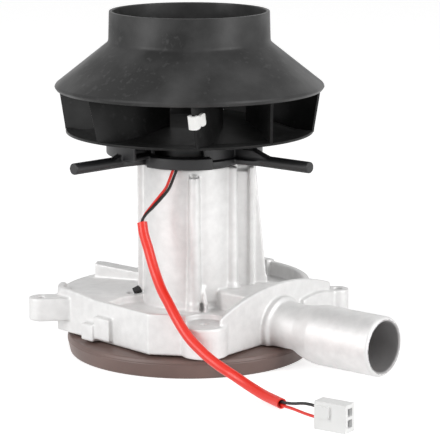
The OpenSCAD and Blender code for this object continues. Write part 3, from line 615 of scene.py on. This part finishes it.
def turned(corners, sides, steps=5):
    """A closed outline turned round Z; a corner is a radius, a height and its rounding, in mm."""
    outline = rounded([[value * MM for value in corner] for corner in corners], steps)
    bm = bmesh.new()
    rings = []
    for k in range(sides):
        a = 2 * math.pi * k / sides
        rings.append([bm.verts.new((p.x * math.cos(a), p.x * math.sin(a), p.y)) for p in outline])
    for k in range(sides):
        here, after = rings[k], rings[(k + 1) % sides]
        for i in range(len(outline)):
            j = (i + 1) % len(outline)
            bm.faces.new([here[i], after[i], after[j], here[j]])
    bmesh.ops.recalc_face_normals(bm, faces=bm.faces)
    return bm


def copy_of(node):
    """A bmesh with the shape of a CAD node."""
    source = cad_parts[node]
    bm = bmesh.new()
    bm.from_mesh(source.data)
    bm.transform(source.matrix_world)
    return bm


def evaluated(shape):
    """A bmesh of what a loose shape's modifiers make of it; the shape is used up."""
    bpy.context.view_layer.update()
    seen = shape.evaluated_get(bpy.context.evaluated_depsgraph_get())
    mesh = bpy.data.meshes.new_from_object(seen)
    bm = bmesh.new()
    bm.from_mesh(mesh)
    bpy.data.meshes.remove(mesh)
    shape.modifiers.clear()
    bpy.data.objects.remove(shape)
    return bm


def spread(name, single, turns, material, body, replaces):
    """Geometry Nodes: repeats one shape about Z, once at each angle, as one plain mesh."""
    points = bpy.data.meshes.new(name + "_points")
    points.from_pydata([(0, 0, 0)] * len(turns), [], [])
    turn = points.attributes.new("turn", "FLOAT", "POINT")
    turn.data.foreach_set("value", turns)
    holder = bpy.data.objects.new(name + "_places", points)
    bpy.context.scene.collection.objects.link(holder)
    tree = bpy.data.node_groups.new(name + "_repeat", "GeometryNodeTree")
    tree.interface.new_socket("Points", in_out="INPUT", socket_type="NodeSocketGeometry")
    shape = tree.interface.new_socket("Shape", in_out="INPUT", socket_type="NodeSocketObject")
    look = tree.interface.new_socket("Material", in_out="INPUT", socket_type="NodeSocketMaterial")
    tree.interface.new_socket("Geometry", in_out="OUTPUT", socket_type="NodeSocketGeometry")
    start = tree.nodes.new("NodeGroupInput")
    end = tree.nodes.new("NodeGroupOutput")
    info = tree.nodes.new("GeometryNodeObjectInfo")
    angle = tree.nodes.new("GeometryNodeInputNamedAttribute")
    angle.data_type = "FLOAT"
    angle.inputs["Name"].default_value = "turn"
    about_z = tree.nodes.new("ShaderNodeCombineXYZ")
    placing = tree.nodes.new("GeometryNodeInstanceOnPoints")
    real = tree.nodes.new("GeometryNodeRealizeInstances")
    dress = tree.nodes.new("GeometryNodeSetMaterial")
    link = tree.links.new
    link(start.outputs["Points"], placing.inputs["Points"])
    link(start.outputs["Shape"], info.inputs["Object"])
    link(info.outputs["Geometry"], placing.inputs["Instance"])
    link(angle.outputs["Attribute"], about_z.inputs["Z"])
    link(about_z.outputs["Vector"], placing.inputs["Rotation"])
    link(placing.outputs["Instances"], real.inputs["Geometry"])
    link(real.outputs["Geometry"], dress.inputs["Geometry"])
    link(start.outputs["Material"], dress.inputs["Material"])
    link(dress.outputs["Geometry"], end.inputs["Geometry"])
    modifier = holder.modifiers.new("repeat", "NODES")
    modifier.node_group = tree
    modifier[shape.identifier] = single
    modifier[look.identifier] = material
    bm = evaluated(holder)
    bpy.data.objects.remove(single)
    return finish_piece(name, bm, material, body, replaces)


# Impeller


def shroud_piece(material):
    """Round inlet neck, sloping cone and thin rim, one lathe."""
    low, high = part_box("impeller_shroud")
    rim_r = high.x / MM
    rim, top = low.z / MM, high.z / MM
    neck = top - NECK_H
    inner = INLET_R - SHROUD_WALL
    corners = [(rim_r - 1.7, rim, 0.1), (rim_r - 0.9, rim + 0.02, 0.4), (rim_r, rim + 1.3, 0.5),
               (rim_r - 0.5, rim + 2.3, 1.2), (INLET_R + 0.4, neck + 0.5, 2.6), (INLET_R, top, 0.4),
               (inner, top, 0.5), (inner, neck + 0.6, 3), (rim_r - 2.1, rim + 1.8, 0.6)]
    return finish_piece("impeller_shroud_look", turned(corners, 220), material, ROTOR,
                        ["impeller_shroud"])


def backplate_corners():
    """Outline of the backplate and its hub: lower face outwards, then upper face inwards."""
    low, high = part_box("impeller_backplate")
    bottom, top, edge_r = low.z / MM, high.z / MM, high.x / MM
    plate = bottom + HUB_DROP
    dome = plate + DOME_RISE
    slope_r, slope = DOME_R + DOME_FOOT_W / 2, plate + DOME_RISE / 3
    bore = INSERT_R
    return [(bore, bottom, 0.2), (bore + 4, bottom, 0.5), (bore + 4, dome - 1.2, 1),
            (DOME_R - 8, dome - 1.0, 2), (DOME_R, dome - 2, 3), (slope_r, slope + 0.1, 4),
            (DOME_R + DOME_FOOT_W, plate, 4), (edge_r, plate, 0.35), (edge_r, plate + BACKPLATE_T, 0.35),
            (DOME_R + DOME_FOOT_W, plate + BACKPLATE_T, 4), (slope_r, slope + BACKPLATE_T, 4),
            (DOME_R, dome - 0.6, 3), (DOME_R - 8, dome + 0.6, 2), (bore + 5.4, dome + 2, 1.6),
            (bore + 4, top, 0.5), (bore, top, 0.3)]


def backplate_piece(material):
    return finish_piece("impeller_backplate_look", turned(backplate_corners(), 200), material, ROTOR,
                        ["impeller_backplate"])


def blade_plan(r):
    """Angle on the blade's own circle at a radius from the rotor axis."""
    centre = Vector(BLADE_CENTRE)
    cosine = (r * r - centre.length_squared - BLADE_R ** 2) / (2 * BLADE_R * centre.length)
    return math.atan2(centre.y, centre.x) + math.acos(cosine)


def blade_heights(r):
    """Lower and upper edge of a blade at a radius, in millimetres."""
    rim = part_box("impeller_shroud")[0].z / MM
    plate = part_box("impeller_backplate")[0].z / MM + HUB_DROP
    edge_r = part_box("impeller_backplate")[1].x / MM
    cone = rim + CONE_START + (IMPELLER_R - SHROUD_WALL - max(r, INLET_R)) * CONE_SLOPE
    if r < INLET_R:
        cone -= BLADE_DIP * (INLET_R - r) / (INLET_R - BLADE_IN_R)
    if r > edge_r:
        return plate + BACKPLATE_T + (r - edge_r) / TIP_REACH * (rim - plate - BACKPLATE_T), cone
    rise = max(0, min(1, (DOME_R + DOME_FOOT_W - r) / DOME_FOOT_W)) ** 1.5 * (DOME_RISE - 0.8)
    return plate + BACKPLATE_T / 2 + rise, cone


def blade_shape():
    """One curved blade whose outer edge leans out to the rim, and is thinner at its very end."""
    edge_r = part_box("impeller_backplate")[1].x / MM
    radii = [BLADE_IN_R + (edge_r - BLADE_IN_R) * i / BLADE_STEPS for i in range(BLADE_STEPS + 1)]
    radii += [edge_r + TIP_REACH * i / TIP_STEPS for i in range(1, TIP_STEPS + 1)]
    loops = []
    for r in radii:
        a = blade_plan(r)
        out = Vector((math.cos(a), math.sin(a)))
        low, high = blade_heights(r)
        half = BLADE_T / 3 if r == radii[-1] else BLADE_T / 2
        inner, outer = (Vector(BLADE_CENTRE) + (BLADE_R + side * half) * out for side in (-1, 1))
        loops.append([(place.x * MM, place.y * MM, z * MM)
                      for place, z in ((inner, low), (outer, low), (outer, high), (inner, high))])
    return loose_shape("blade", skinned(loops))


def blades_piece(material):
    turns = [math.radians(a) for a in BLADE_ANGLES]
    return spread("impeller_blades_look", blade_shape(), turns, material, ROTOR, ["impeller_blades"])


def height_at(table, x):
    """Height at x in a table of places and heights."""
    for (x0, h0), (x1, h1) in zip(table, table[1:]):
        if x <= x1:
            return h0 + (h1 - h0) * max(0, x - x0) / (x1 - x0)
    return table[-1][1]


def clip_piece(material):
    """White clip folded over the blade's outer edge, with a waist between its two lobes."""
    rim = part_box("impeller_shroud")[0].z
    length = -CLIP_HALF_HEIGHTS[0][0]
    turn = [math.pi * k / CLIP_STEPS for k in range(CLIP_STEPS + 1)]
    middle = [Vector((-length + length * k / CLIP_STEPS, -CLIP_BEND_R)) for k in range(CLIP_STEPS)]
    middle += [CLIP_BEND_R * Vector((CLIP_BULGE * math.sin(a), -math.cos(a))) for a in turn]
    middle += [Vector((-length * k / CLIP_STEPS, CLIP_BEND_R)) for k in range(1, CLIP_STEPS + 1)]
    loops = []
    for i, point in enumerate(middle):
        run = direction_at(middle, i)
        side = CLIP_WALL * Vector((run.y, -run.x))
        half = height_at(CLIP_HALF_HEIGHTS, point.x)
        loops.append([Vector((place.x, place.y, z)) * MM
                      for place, z in ((point - side, -half), (point + side, -half),
                                       (point + side, half), (point - side, half))])
    bm = skinned(loops)
    bm.transform(Matrix.Rotation(math.radians(BLADE_ANGLES[CLIP_BLADE]), 4, "Z")
                 @ Matrix.Translation((CLIP_PLACE[0] * MM, CLIP_PLACE[1] * MM, rim - CLIP_DROP * MM))
                 @ Matrix.Rotation(CLIP_TURN - BLADE_SWEEP, 4, "Z") @ Matrix.Rotation(CLIP_TILT, 4, "Y"))
    return finish_piece("balance_clip_look", bm, material, ROTOR, ["balance_clip"])


# Side-channel wheel


def wheel_piece(material):
    """Shallow dish with its channel."""
    low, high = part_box("combustion_wheel")
    rim_r, top = high.x / MM, high.z / MM
    foot_r = rim_r - WHEEL_TAPER
    inner, outer = CHANNEL_R - CHANNEL_BORE_R, CHANNEL_R + CHANNEL_BORE_R
    groove = [(outer - CHANNEL_BORE_R * (1 - math.cos(a)), top - CHANNEL_BORE_R * math.sin(a), 0)
              for a in (math.pi * k / CHANNEL_STEPS for k in range(CHANNEL_STEPS + 1))]
    outside = [(foot_r - 4, 0, 0.6), (foot_r, 0, 1.2), (rim_r - 0.2, WHEEL_EDGE_Z - 0.4, 0.2),
               (rim_r - 0.45, WHEEL_EDGE_Z, 0.1), (rim_r - 0.2, WHEEL_EDGE_Z + 0.2, 0.1),
               (rim_r - 0.8, WHEEL_EDGE_Z + 1.6, 0.8), (outer + 3, top, 0.8)]
    inside = [(inner - 3, top, 0.6), (inner - 6, top - 2.7, 1), (HUB_R + 1, top - 2.7, 1),
              (HUB_R, top, 0.4), (INSERT_R, top, 0.2), (INSERT_R, HUB_BASE_Z, 0.2),
              (HUB_R, HUB_BASE_Z, 0.4), (HUB_R + 1.5, WEB_Z + 1.6, 1), (inner - 4, WEB_Z + 1.6, 1),
              (inner - 1, WEB_Z, 1), (foot_r - 4, WEB_Z, 0.6)]
    bm = turned(outside + groove + inside, 180, steps=4)
    return finish_piece("combustion_wheel_look", bm, material, ROTOR, ["combustion_wheel"])


def vane_shape():
    """One vane: a half disc that fills the channel's section and ends a little below its rim."""
    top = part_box("combustion_wheel")[1].z / MM
    turn = [math.pi * k / VANE_STEPS for k in range(1, VANE_STEPS)]
    edge = [(-1, 0)] + [(-math.cos(a), -math.sin(a)) for a in turn] + [(1, 0)]
    loops = [[((CHANNEL_R + x * (CHANNEL_BORE_R + 0.05)) * MM, side * MM,
               (top - 0.1 + z * (CHANNEL_BORE_R - 0.05)) * MM) for x, z in edge]
             for side in (-VANE_T / 2, VANE_T / 2)]
    return loose_shape("vane", skinned(loops))


def vanes_piece(material):
    count = settings("wheel").vanes
    turns = [2 * math.pi * k / count for k in range(1, count + 1)]
    return spread("wheel_vanes_look", vane_shape(), turns, material, ROTOR, ["combustion_wheel"])


# Casting and cap


def prism(outline, low, *tops):
    """An upright prism over an outline, in millimetres, with one top height or one for each corner."""
    tops = tops if len(tops) > 1 else tops * len(outline)
    lower = [(x * MM, y * MM, low * MM) for x, y in outline]
    upper = [(x * MM, y * MM, z * MM) for (x, y), z in zip(outline, tops)]
    return skinned([lower, upper])


def arc(centre, radius, first, last, steps=24):
    """Points of an arc between two angles in degrees."""
    angles = [math.radians(first + (last - first) * k / steps) for k in range(steps + 1)]
    return [(centre[0] + radius * math.cos(a), centre[1] + radius * math.sin(a)) for a in angles]


def from_spigot(points):
    """Plan places of points that are given along and across the spigot's direction."""
    c, s = math.cos(SPIGOT_ANGLE), math.sin(SPIGOT_ANGLE)
    return [(n * c - w * s, n * s + w * c) for n, w in points]


def cut_away(bm, knife):
    """The first shape with the second one cut away; both are used up."""
    bmesh.ops.remove_doubles(bm, verts=bm.verts, dist=WELD)
    shape, tool = loose_shape("whole", bm), loose_shape("knife", knife)
    cut = shape.modifiers.new("cut", "BOOLEAN")
    cut.operation = "DIFFERENCE"
    cut.object = tool
    bm = evaluated(shape)
    bpy.data.objects.remove(tool)
    return bm


def wall_line(inset, angles):
    """The base's left wall in plan, set in from its outer face, at angles seen from the wall's centre."""
    flat = LEFT_FLAT - inset - WALL_X * math.cos(LEFT_FLAT_AZ)
    points = []
    for angle in angles:
        a = math.radians(angle)
        r = min(WALL_R - inset, flat / max(math.cos(a - LEFT_FLAT_AZ), 0.01))
        points.append((WALL_X + r * math.cos(a), r * math.sin(a)))
    return points


def cut_housing():
    """The CAD base with a lower, narrower duct, a deck behind the outlet and a groove at the left."""
    duct_face = arc((0, 0), TOWER_R - 1, *DUCT_FACE_ARC, steps=8) + DUCT_FACE
    groove = wall_line(RIM_WALL, RIM_ANGLES) + wall_line(RIM_WALL + GROOVE_W, RIM_ANGLES[::-1])
    housing = copy_of("blower_housing")
    for outline, low in ((from_spigot(duct_face), FLOOR_Z), (from_spigot(DUCT_ROOF), DUCT_TOP_Z),
                         (OUTLET_AREA, DECK_Z + 0.1), (groove, GROOVE_Z)):
        housing = cut_away(housing, prism(outline, low, BLOCK_Z))
    return housing


def cut_tower():
    """The CAD tower without the collar that its right boss stood in."""
    first, last = COLLAR_ARC
    collar = arc(BOSS_PLACE, BOSS_R + COLLAR_WALL, first, last) + arc(BOSS_PLACE, BOSS_R, last, first)
    return cut_away(copy_of("motor_tower"), prism(collar, BLOCK_Z - COLLAR_H / 2, BLOCK_Z + COLLAR_H / 2))


def tower_feet():
    """The tower's wall, its right boss, its fin and its ribs, down to the lowered duct and the deck."""
    first, last = FOOT_ARC
    tube = arc((0, 0), TOWER_R, first, last) + arc((0, 0), TOWER_R - TOWER_WALL, last, first)
    ribs = [[(x0, y0), (x1, y0), (x1, y1), (x0, y1)] for x0, y0, x1, y1 in RIB_CORNERS]
    outlines = [tube, arc(BOSS_PLACE, BOSS_R, *FULL_ARC)] + ribs
    feet = [prism(outline, DECK_Z - 0.3, BLOCK_Z - 0.4) for outline in outlines]
    fillet = arc(BOSS_PLACE, BOSS_R + BOSS_FILLET, *FULL_ARC)
    return feet + [prism(fillet, DUCT_TOP_Z - 1, DUCT_TOP_Z + 1.6)]


def left_rim():
    """The raised part of the base's left rim."""
    outline = wall_line(RIM_INSET, RIM_ANGLES) + wall_line(RIM_WALL, RIM_ANGLES[::-1])
    return prism(outline, DECK_Z - 1, *RIM_TOPS, *RIM_TOPS[::-1])


def casting_shapes():
    """The cut CAD base and tower, the tower's feet, the outlet's sloping wall, the rim and a gusset."""
    outlet_wall = prism(OUTLET_WALL, DECK_Z - 2, *OUTLET_WALL_TOPS)
    gusset = prism(GUSSET, FLOOR_Z - 0.3, *GUSSET_TOPS)
    return [cut_housing(), cut_tower(), *tower_feet(), outlet_wall, left_rim(), gusset]


def moulded(name, shapes, nodes, material, chosen):
    """Shapes moulded again as one skin with soft edges and fillets, by a group's settings."""
    bm = bmesh.new()
    for single in shapes:
        mesh = bpy.data.meshes.new("single")
        single.to_mesh(mesh)
        single.free()
        bm.from_mesh(mesh)
        bpy.data.meshes.remove(mesh)
    shape = loose_shape(name, bm)
    skin = shape.modifiers.new("skin", "REMESH")
    skin.mode = "VOXEL"
    skin.voxel_size = chosen.voxel
    soften = shape.modifiers.new("soften", "SMOOTH")
    soften.factor = 0.5
    soften.iterations = chosen.soften
    fewer = shape.modifiers.new("fewer", "DECIMATE")
    fewer.ratio = chosen.kept
    return finish_piece(name, evaluated(shape), material, HOUSING, nodes, smooth=50)


def paint_bore_shade(piece, material):
    """Paints shade inside the spigot: the faces of its bore get a darker copy of the cast metal."""
    piece.data.materials.append(material)
    along_axis = Vector(from_spigot([(1, 0)])[0] + (0,))
    start = Vector(from_spigot([(BORE_SHADE_FROM, SPIGOT_OFFSET)])[0] + (SPIGOT_Z,)) * MM
    # Faces inside the bore that face its axis get the painted shade
    for face in piece.data.polygons:
        reach = face.center - start
        deep = reach.dot(along_axis)
        off_axis = reach - deep * along_axis
        if deep > 0 and off_axis.length < BORE_SHADE_R * MM and off_axis.dot(face.normal) < 0:
            face.material_index = 1


# Lead


def pair_route(side):
    """One wire of the pair: it turns slowly round the route's line."""
    chosen = settings("lead")
    route = [Vector(p) for p in LEAD_ROUTE]
    half = (chosen.wire + PAIR_GAP) / 2
    path = []
    for i, point in enumerate(route):
        u, v = across(direction_at(route, i))
        angle = TWIST_START + TWIST_STEP * i
        path.append(point + side * half * (math.cos(angle) * u + math.sin(angle) * v))
    return path


def wire_piece(node, points, colour, roughness, slot):
    """A wire along its route, as a round tube that stands for a CAD node."""
    chosen = settings("lead")
    path = smooth_path(points, chosen.steps)
    bm = bmesh.new()
    add_tube(bm, path, chosen.wire / 2, WIRE_SIDES)
    piece = finish_piece(node + "_look", bm, plain(slot, colour, roughness), HOUSING, [node])


def contact_entries():
    """The two points where the wires end: the axis of each contact's round end."""
    along = Vector((math.cos(PLUG_ANGLE), math.sin(PLUG_ANGLE), 0))
    side = Vector((-math.sin(PLUG_ANGLE), math.cos(PLUG_ANGLE), 0))
    middle = Vector(PLUG_CORNER) + WIRE_INSET * along + PLUG_W / 2 * side
    return [middle + Vector((0, 0, height)) for height in PIN_HEIGHTS]


def wire_pieces():
    chosen = settings("lead")
    red_entry, black_entry = contact_entries()
    wire_piece("red_wire", [RED_START, *pair_route(1), *RED_END, red_entry],
               chosen.red, 0.35, "red_insulation")
    wire_piece("black_wire", [BLACK_START, *pair_route(-1), *BLACK_END, black_entry],
               chosen.black, 0.55, "black_insulation")


def sleeve_piece():
    """The open red sleeve over the pair: an outer and an inner tube, joined at both ends."""
    chosen = settings("lead")
    path = smooth_path(LEAD_ROUTE[SLEEVE_FIRST:], chosen.steps)
    bm = bmesh.new()
    radius = chosen.sleeve / 2
    outer = add_tube(bm, path, radius, SLEEVE_SIDES, closed_ends=False)
    inner = add_tube(bm, path, radius - chosen.sleeve_wall, SLEEVE_SIDES, closed_ends=False, inward=True)
    for end in (0, -1):
        for k in range(SLEEVE_SIDES):
            m = (k + 1) % SLEEVE_SIDES
            corners = [outer[end][m], outer[end][k], inner[end][k], inner[end][m]]
            bm.faces.new(corners[::-1] if end else corners)
    material = plain("red_sleeve", chosen.red, 0.3)
    piece = finish_piece("lead_sleeve_look", bm, material, HOUSING, ["lead_sleeve"])


# Studio


def make_camera():
    data = bpy.data.cameras.new("camera")
    data.lens = CAMERA_LENS
    data.sensor_width = CAMERA_SENSOR
    data.clip_start = 0.01
    data.clip_end = 20
    camera = bpy.data.objects.new("camera", data)
    camera.location = CAMERA_PLACE
    camera.rotation_euler = (math.pi / 2 - CAMERA_PITCH, 0, 0)
    bpy.context.scene.collection.objects.link(camera)
    bpy.context.scene.camera = camera


def softbox(name, place, power):
    data = bpy.data.lights.new(name, "AREA")
    data.shape = "RECTANGLE"
    data.size, data.size_y = SOFTBOX_SIZE
    data.energy = power
    light = bpy.data.objects.new(name, data)
    light.location = place
    light.rotation_euler = (SOFTBOX_TARGET - place).to_track_quat("-Z", "Y").to_euler()
    bpy.context.scene.collection.objects.link(light)


def seen_white(material_or_world, seen, otherwise, socket):
    """Gives a socket one strength for what the camera or a mirror sees, and another for the light."""
    tree = material_or_world.node_tree
    path = tree.nodes.new("ShaderNodeLightPath")
    total = path.outputs["Is Camera Ray"]
    for name in ("Is Glossy Ray", "Is Transmission Ray"):
        either = tree.nodes.new("ShaderNodeMath")
        either.operation = "MAXIMUM"
        tree.links.new(total, either.inputs[0])
        tree.links.new(path.outputs[name], either.inputs[1])
        total = either.outputs[0]
    span = tree.nodes.new("ShaderNodeMapRange")
    span.inputs["To Min"].default_value = otherwise
    span.inputs["To Max"].default_value = seen
    tree.links.new(total, span.inputs["Value"])
    tree.links.new(span.outputs["Result"], socket)


def make_floor():
    bm = bmesh.new()
    bmesh.ops.create_grid(bm, x_segments=1, y_segments=1, size=STUDIO_FLOOR_R)
    floor = loose_shape("floor", bm)
    floor.location.z = -STUDIO_FLOOR_DROP
    material, node = shader("floor_white", (0.8, 0.8, 0.8), 0.9)
    node.inputs["Emission Color"].default_value = WHITE
    seen_white(material, settings("stage").floor, 0.0, node.inputs["Emission Strength"])
    floor.data.materials.append(material)


def make_world():
    chosen = settings("stage")
    world = bpy.data.worlds.new("studio")
    bpy.context.scene.world = world
    world.use_nodes = True
    background = world.node_tree.nodes["Background"]
    background.inputs["Color"].default_value = WHITE
    seen_white(world, chosen.background, chosen.ambient, background.inputs["Strength"])


def make_lights():
    chosen = settings("stage")
    softbox("left_softbox", SOFTBOX_PLACE * Vector((-1, 1, 1)), chosen.left)
    softbox("right_softbox", SOFTBOX_PLACE, chosen.right)


# Operators, one for each group of pieces, and the sidebar's panel


class BLOWER_OT_camera(bpy.types.Operator):
    """Places the camera at the photo's viewpoint"""

    bl_idname = "blower.camera"
    bl_label = "Camera"

    def execute(self, context):
        make_camera()
        return {"FINISHED"}


class BLOWER_OT_lead(bpy.types.Operator):
    """Makes the two wires and the red sleeve"""

    bl_idname = "blower.lead"
    bl_label = "Lead"

    def execute(self, context):
        wire_pieces()
        sleeve_piece()
        return {"FINISHED"}


class BLOWER_OT_impeller(bpy.types.Operator):
    """Makes the impeller's shroud, backplate, blades and balance clip"""

    bl_idname = "blower.impeller"
    bl_label = "Impeller"

    def execute(self, context):
        # Painted shade: the backplate and blades under the shroud get a darker copy of the plastic
        inside = impeller_plastic("impeller_painted_shade", 0.6)
        shroud_piece(impeller_plastic("impeller_plastic"))
        backplate_piece(inside)
        blades_piece(inside)
        clip_piece(plain("clip_nylon", settings("impeller").clip, 0.4))
        return {"FINISHED"}


class BLOWER_OT_wheel(bpy.types.Operator):
    """Makes the side-channel wheel and its vanes"""

    bl_idname = "blower.wheel"
    bl_label = "Wheel"

    def execute(self, context):
        material = wheel_resin()
        wheel_piece(material)
        vanes_piece(material)
        return {"FINISHED"}


class BLOWER_OT_casting(bpy.types.Operator):
    """Makes the casting with its soft edges"""

    bl_idname = "blower.casting"
    bl_label = "Casting"

    def execute(self, context):
        chosen = settings("housing")
        piece = moulded("casting_look", casting_shapes(), ["blower_housing", "motor_tower"],
                        cast_metal("cast_metal", chosen.colour), chosen)
        # Painted shade inside the spigot's bore
        paint_bore_shade(piece, cast_metal("bore_metal", chosen.bore))
        return {"FINISHED"}


class BLOWER_OT_cap(bpy.types.Operator):
    """Makes the black cap with its two arms"""

    bl_idname = "blower.cap"
    bl_label = "Cap"

    def execute(self, context):
        moulded("arm_cap_look", [copy_of("arm_cap")], ["arm_cap"], cap_plastic(), settings("cap"))
        return {"FINISHED"}


class BLOWER_OT_finishes(bpy.types.Operator):
    """Gives the pieces that CAD shapes their finishes"""

    bl_idname = "blower.finishes"
    bl_label = "Finishes"

    def execute(self, context):
        chosen = settings("finish")
        paint(plain("nylon", chosen.nylon, 0.4), "connector_housing")
        paint(plain("rubber", chosen.rubber, 0.8), "drain_plug", "shaft_seal")
        paint(plain("bell_plastic", chosen.bell, 0.5), "end_bell")
        paint(metal("steel", chosen.steel, 0.3), "motor_shaft", "shaft_spacers", "lower_bearing",
              "upper_bearing", "motor_screws", "motor_can", "impeller_washer", "impeller_nut",
              "wheel_washer", "wheel_nut", "crimp_contacts")
        paint(metal("brass", chosen.brass, 0.3), "impeller_insert", "wheel_insert", "motor_terminals")
        paint(metal("copper", chosen.copper, 0.35), "armature_windings", "commutator", "brush_springs")
        paint(metal("laminations", chosen.laminations, 0.5), "armature_core")
        paint(plain("ferrite", chosen.ferrite, 0.6), "field_magnets", "brushes")
        return {"FINISHED"}


class BLOWER_OT_stage(bpy.types.Operator):
    """Makes the floor, the lights and the white background"""

    bl_idname = "blower.stage"
    bl_label = "Studio"

    def execute(self, context):
        make_floor()
        make_world()
        make_lights()
        bpy.context.scene.view_settings.view_transform = "Standard"
        return {"FINISHED"}


GROUPS = (ImpellerSettings, HousingSettings, CapSettings, WheelSettings, LeadSettings, FinishSettings,
          StageSettings)
OPERATORS = (BLOWER_OT_camera, BLOWER_OT_lead, BLOWER_OT_impeller, BLOWER_OT_wheel, BLOWER_OT_casting,
             BLOWER_OT_cap, BLOWER_OT_finishes, BLOWER_OT_stage)


def group_name(group):
    """A group's short name, such as wheel."""
    return group.__name__.replace("Settings", "").lower()


class BLOWER_PT_panel(bpy.types.Panel):
    """The blower's settings and operators"""

    bl_label = "Blower"
    bl_idname = "BLOWER_PT_panel"
    bl_space_type = "VIEW_3D"
    bl_region_type = "UI"
    bl_category = "Blower"

    def draw(self, context):
        for operator in OPERATORS:
            self.layout.operator(operator.bl_idname)
        for group in GROUPS:
            box = self.layout.box()
            chosen = settings(group_name(group))
            for name in group.__annotations__:
                box.prop(chosen, name)


def register():
    for group in GROUPS:
        bpy.utils.register_class(group)
        setattr(bpy.types.Scene, "blower_" + group_name(group), PointerProperty(type=group))
    for item in OPERATORS + (BLOWER_PT_panel,):
        bpy.utils.register_class(item)


def unregister():
    for item in (BLOWER_PT_panel,) + OPERATORS[::-1]:
        bpy.utils.unregister_class(item)
    for group in GROUPS[::-1]:
        delattr(bpy.types.Scene, "blower_" + group_name(group))
        bpy.utils.unregister_class(group)


def main():
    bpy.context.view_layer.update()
    register()
    bpy.ops.blower.camera()
    bpy.ops.blower.lead()
    bpy.ops.blower.impeller()
    bpy.ops.blower.wheel()
    bpy.ops.blower.casting()
    bpy.ops.blower.cap()
    bpy.ops.blower.finishes()
    bpy.ops.blower.stage()


if __name__ == "__main__":
    main()
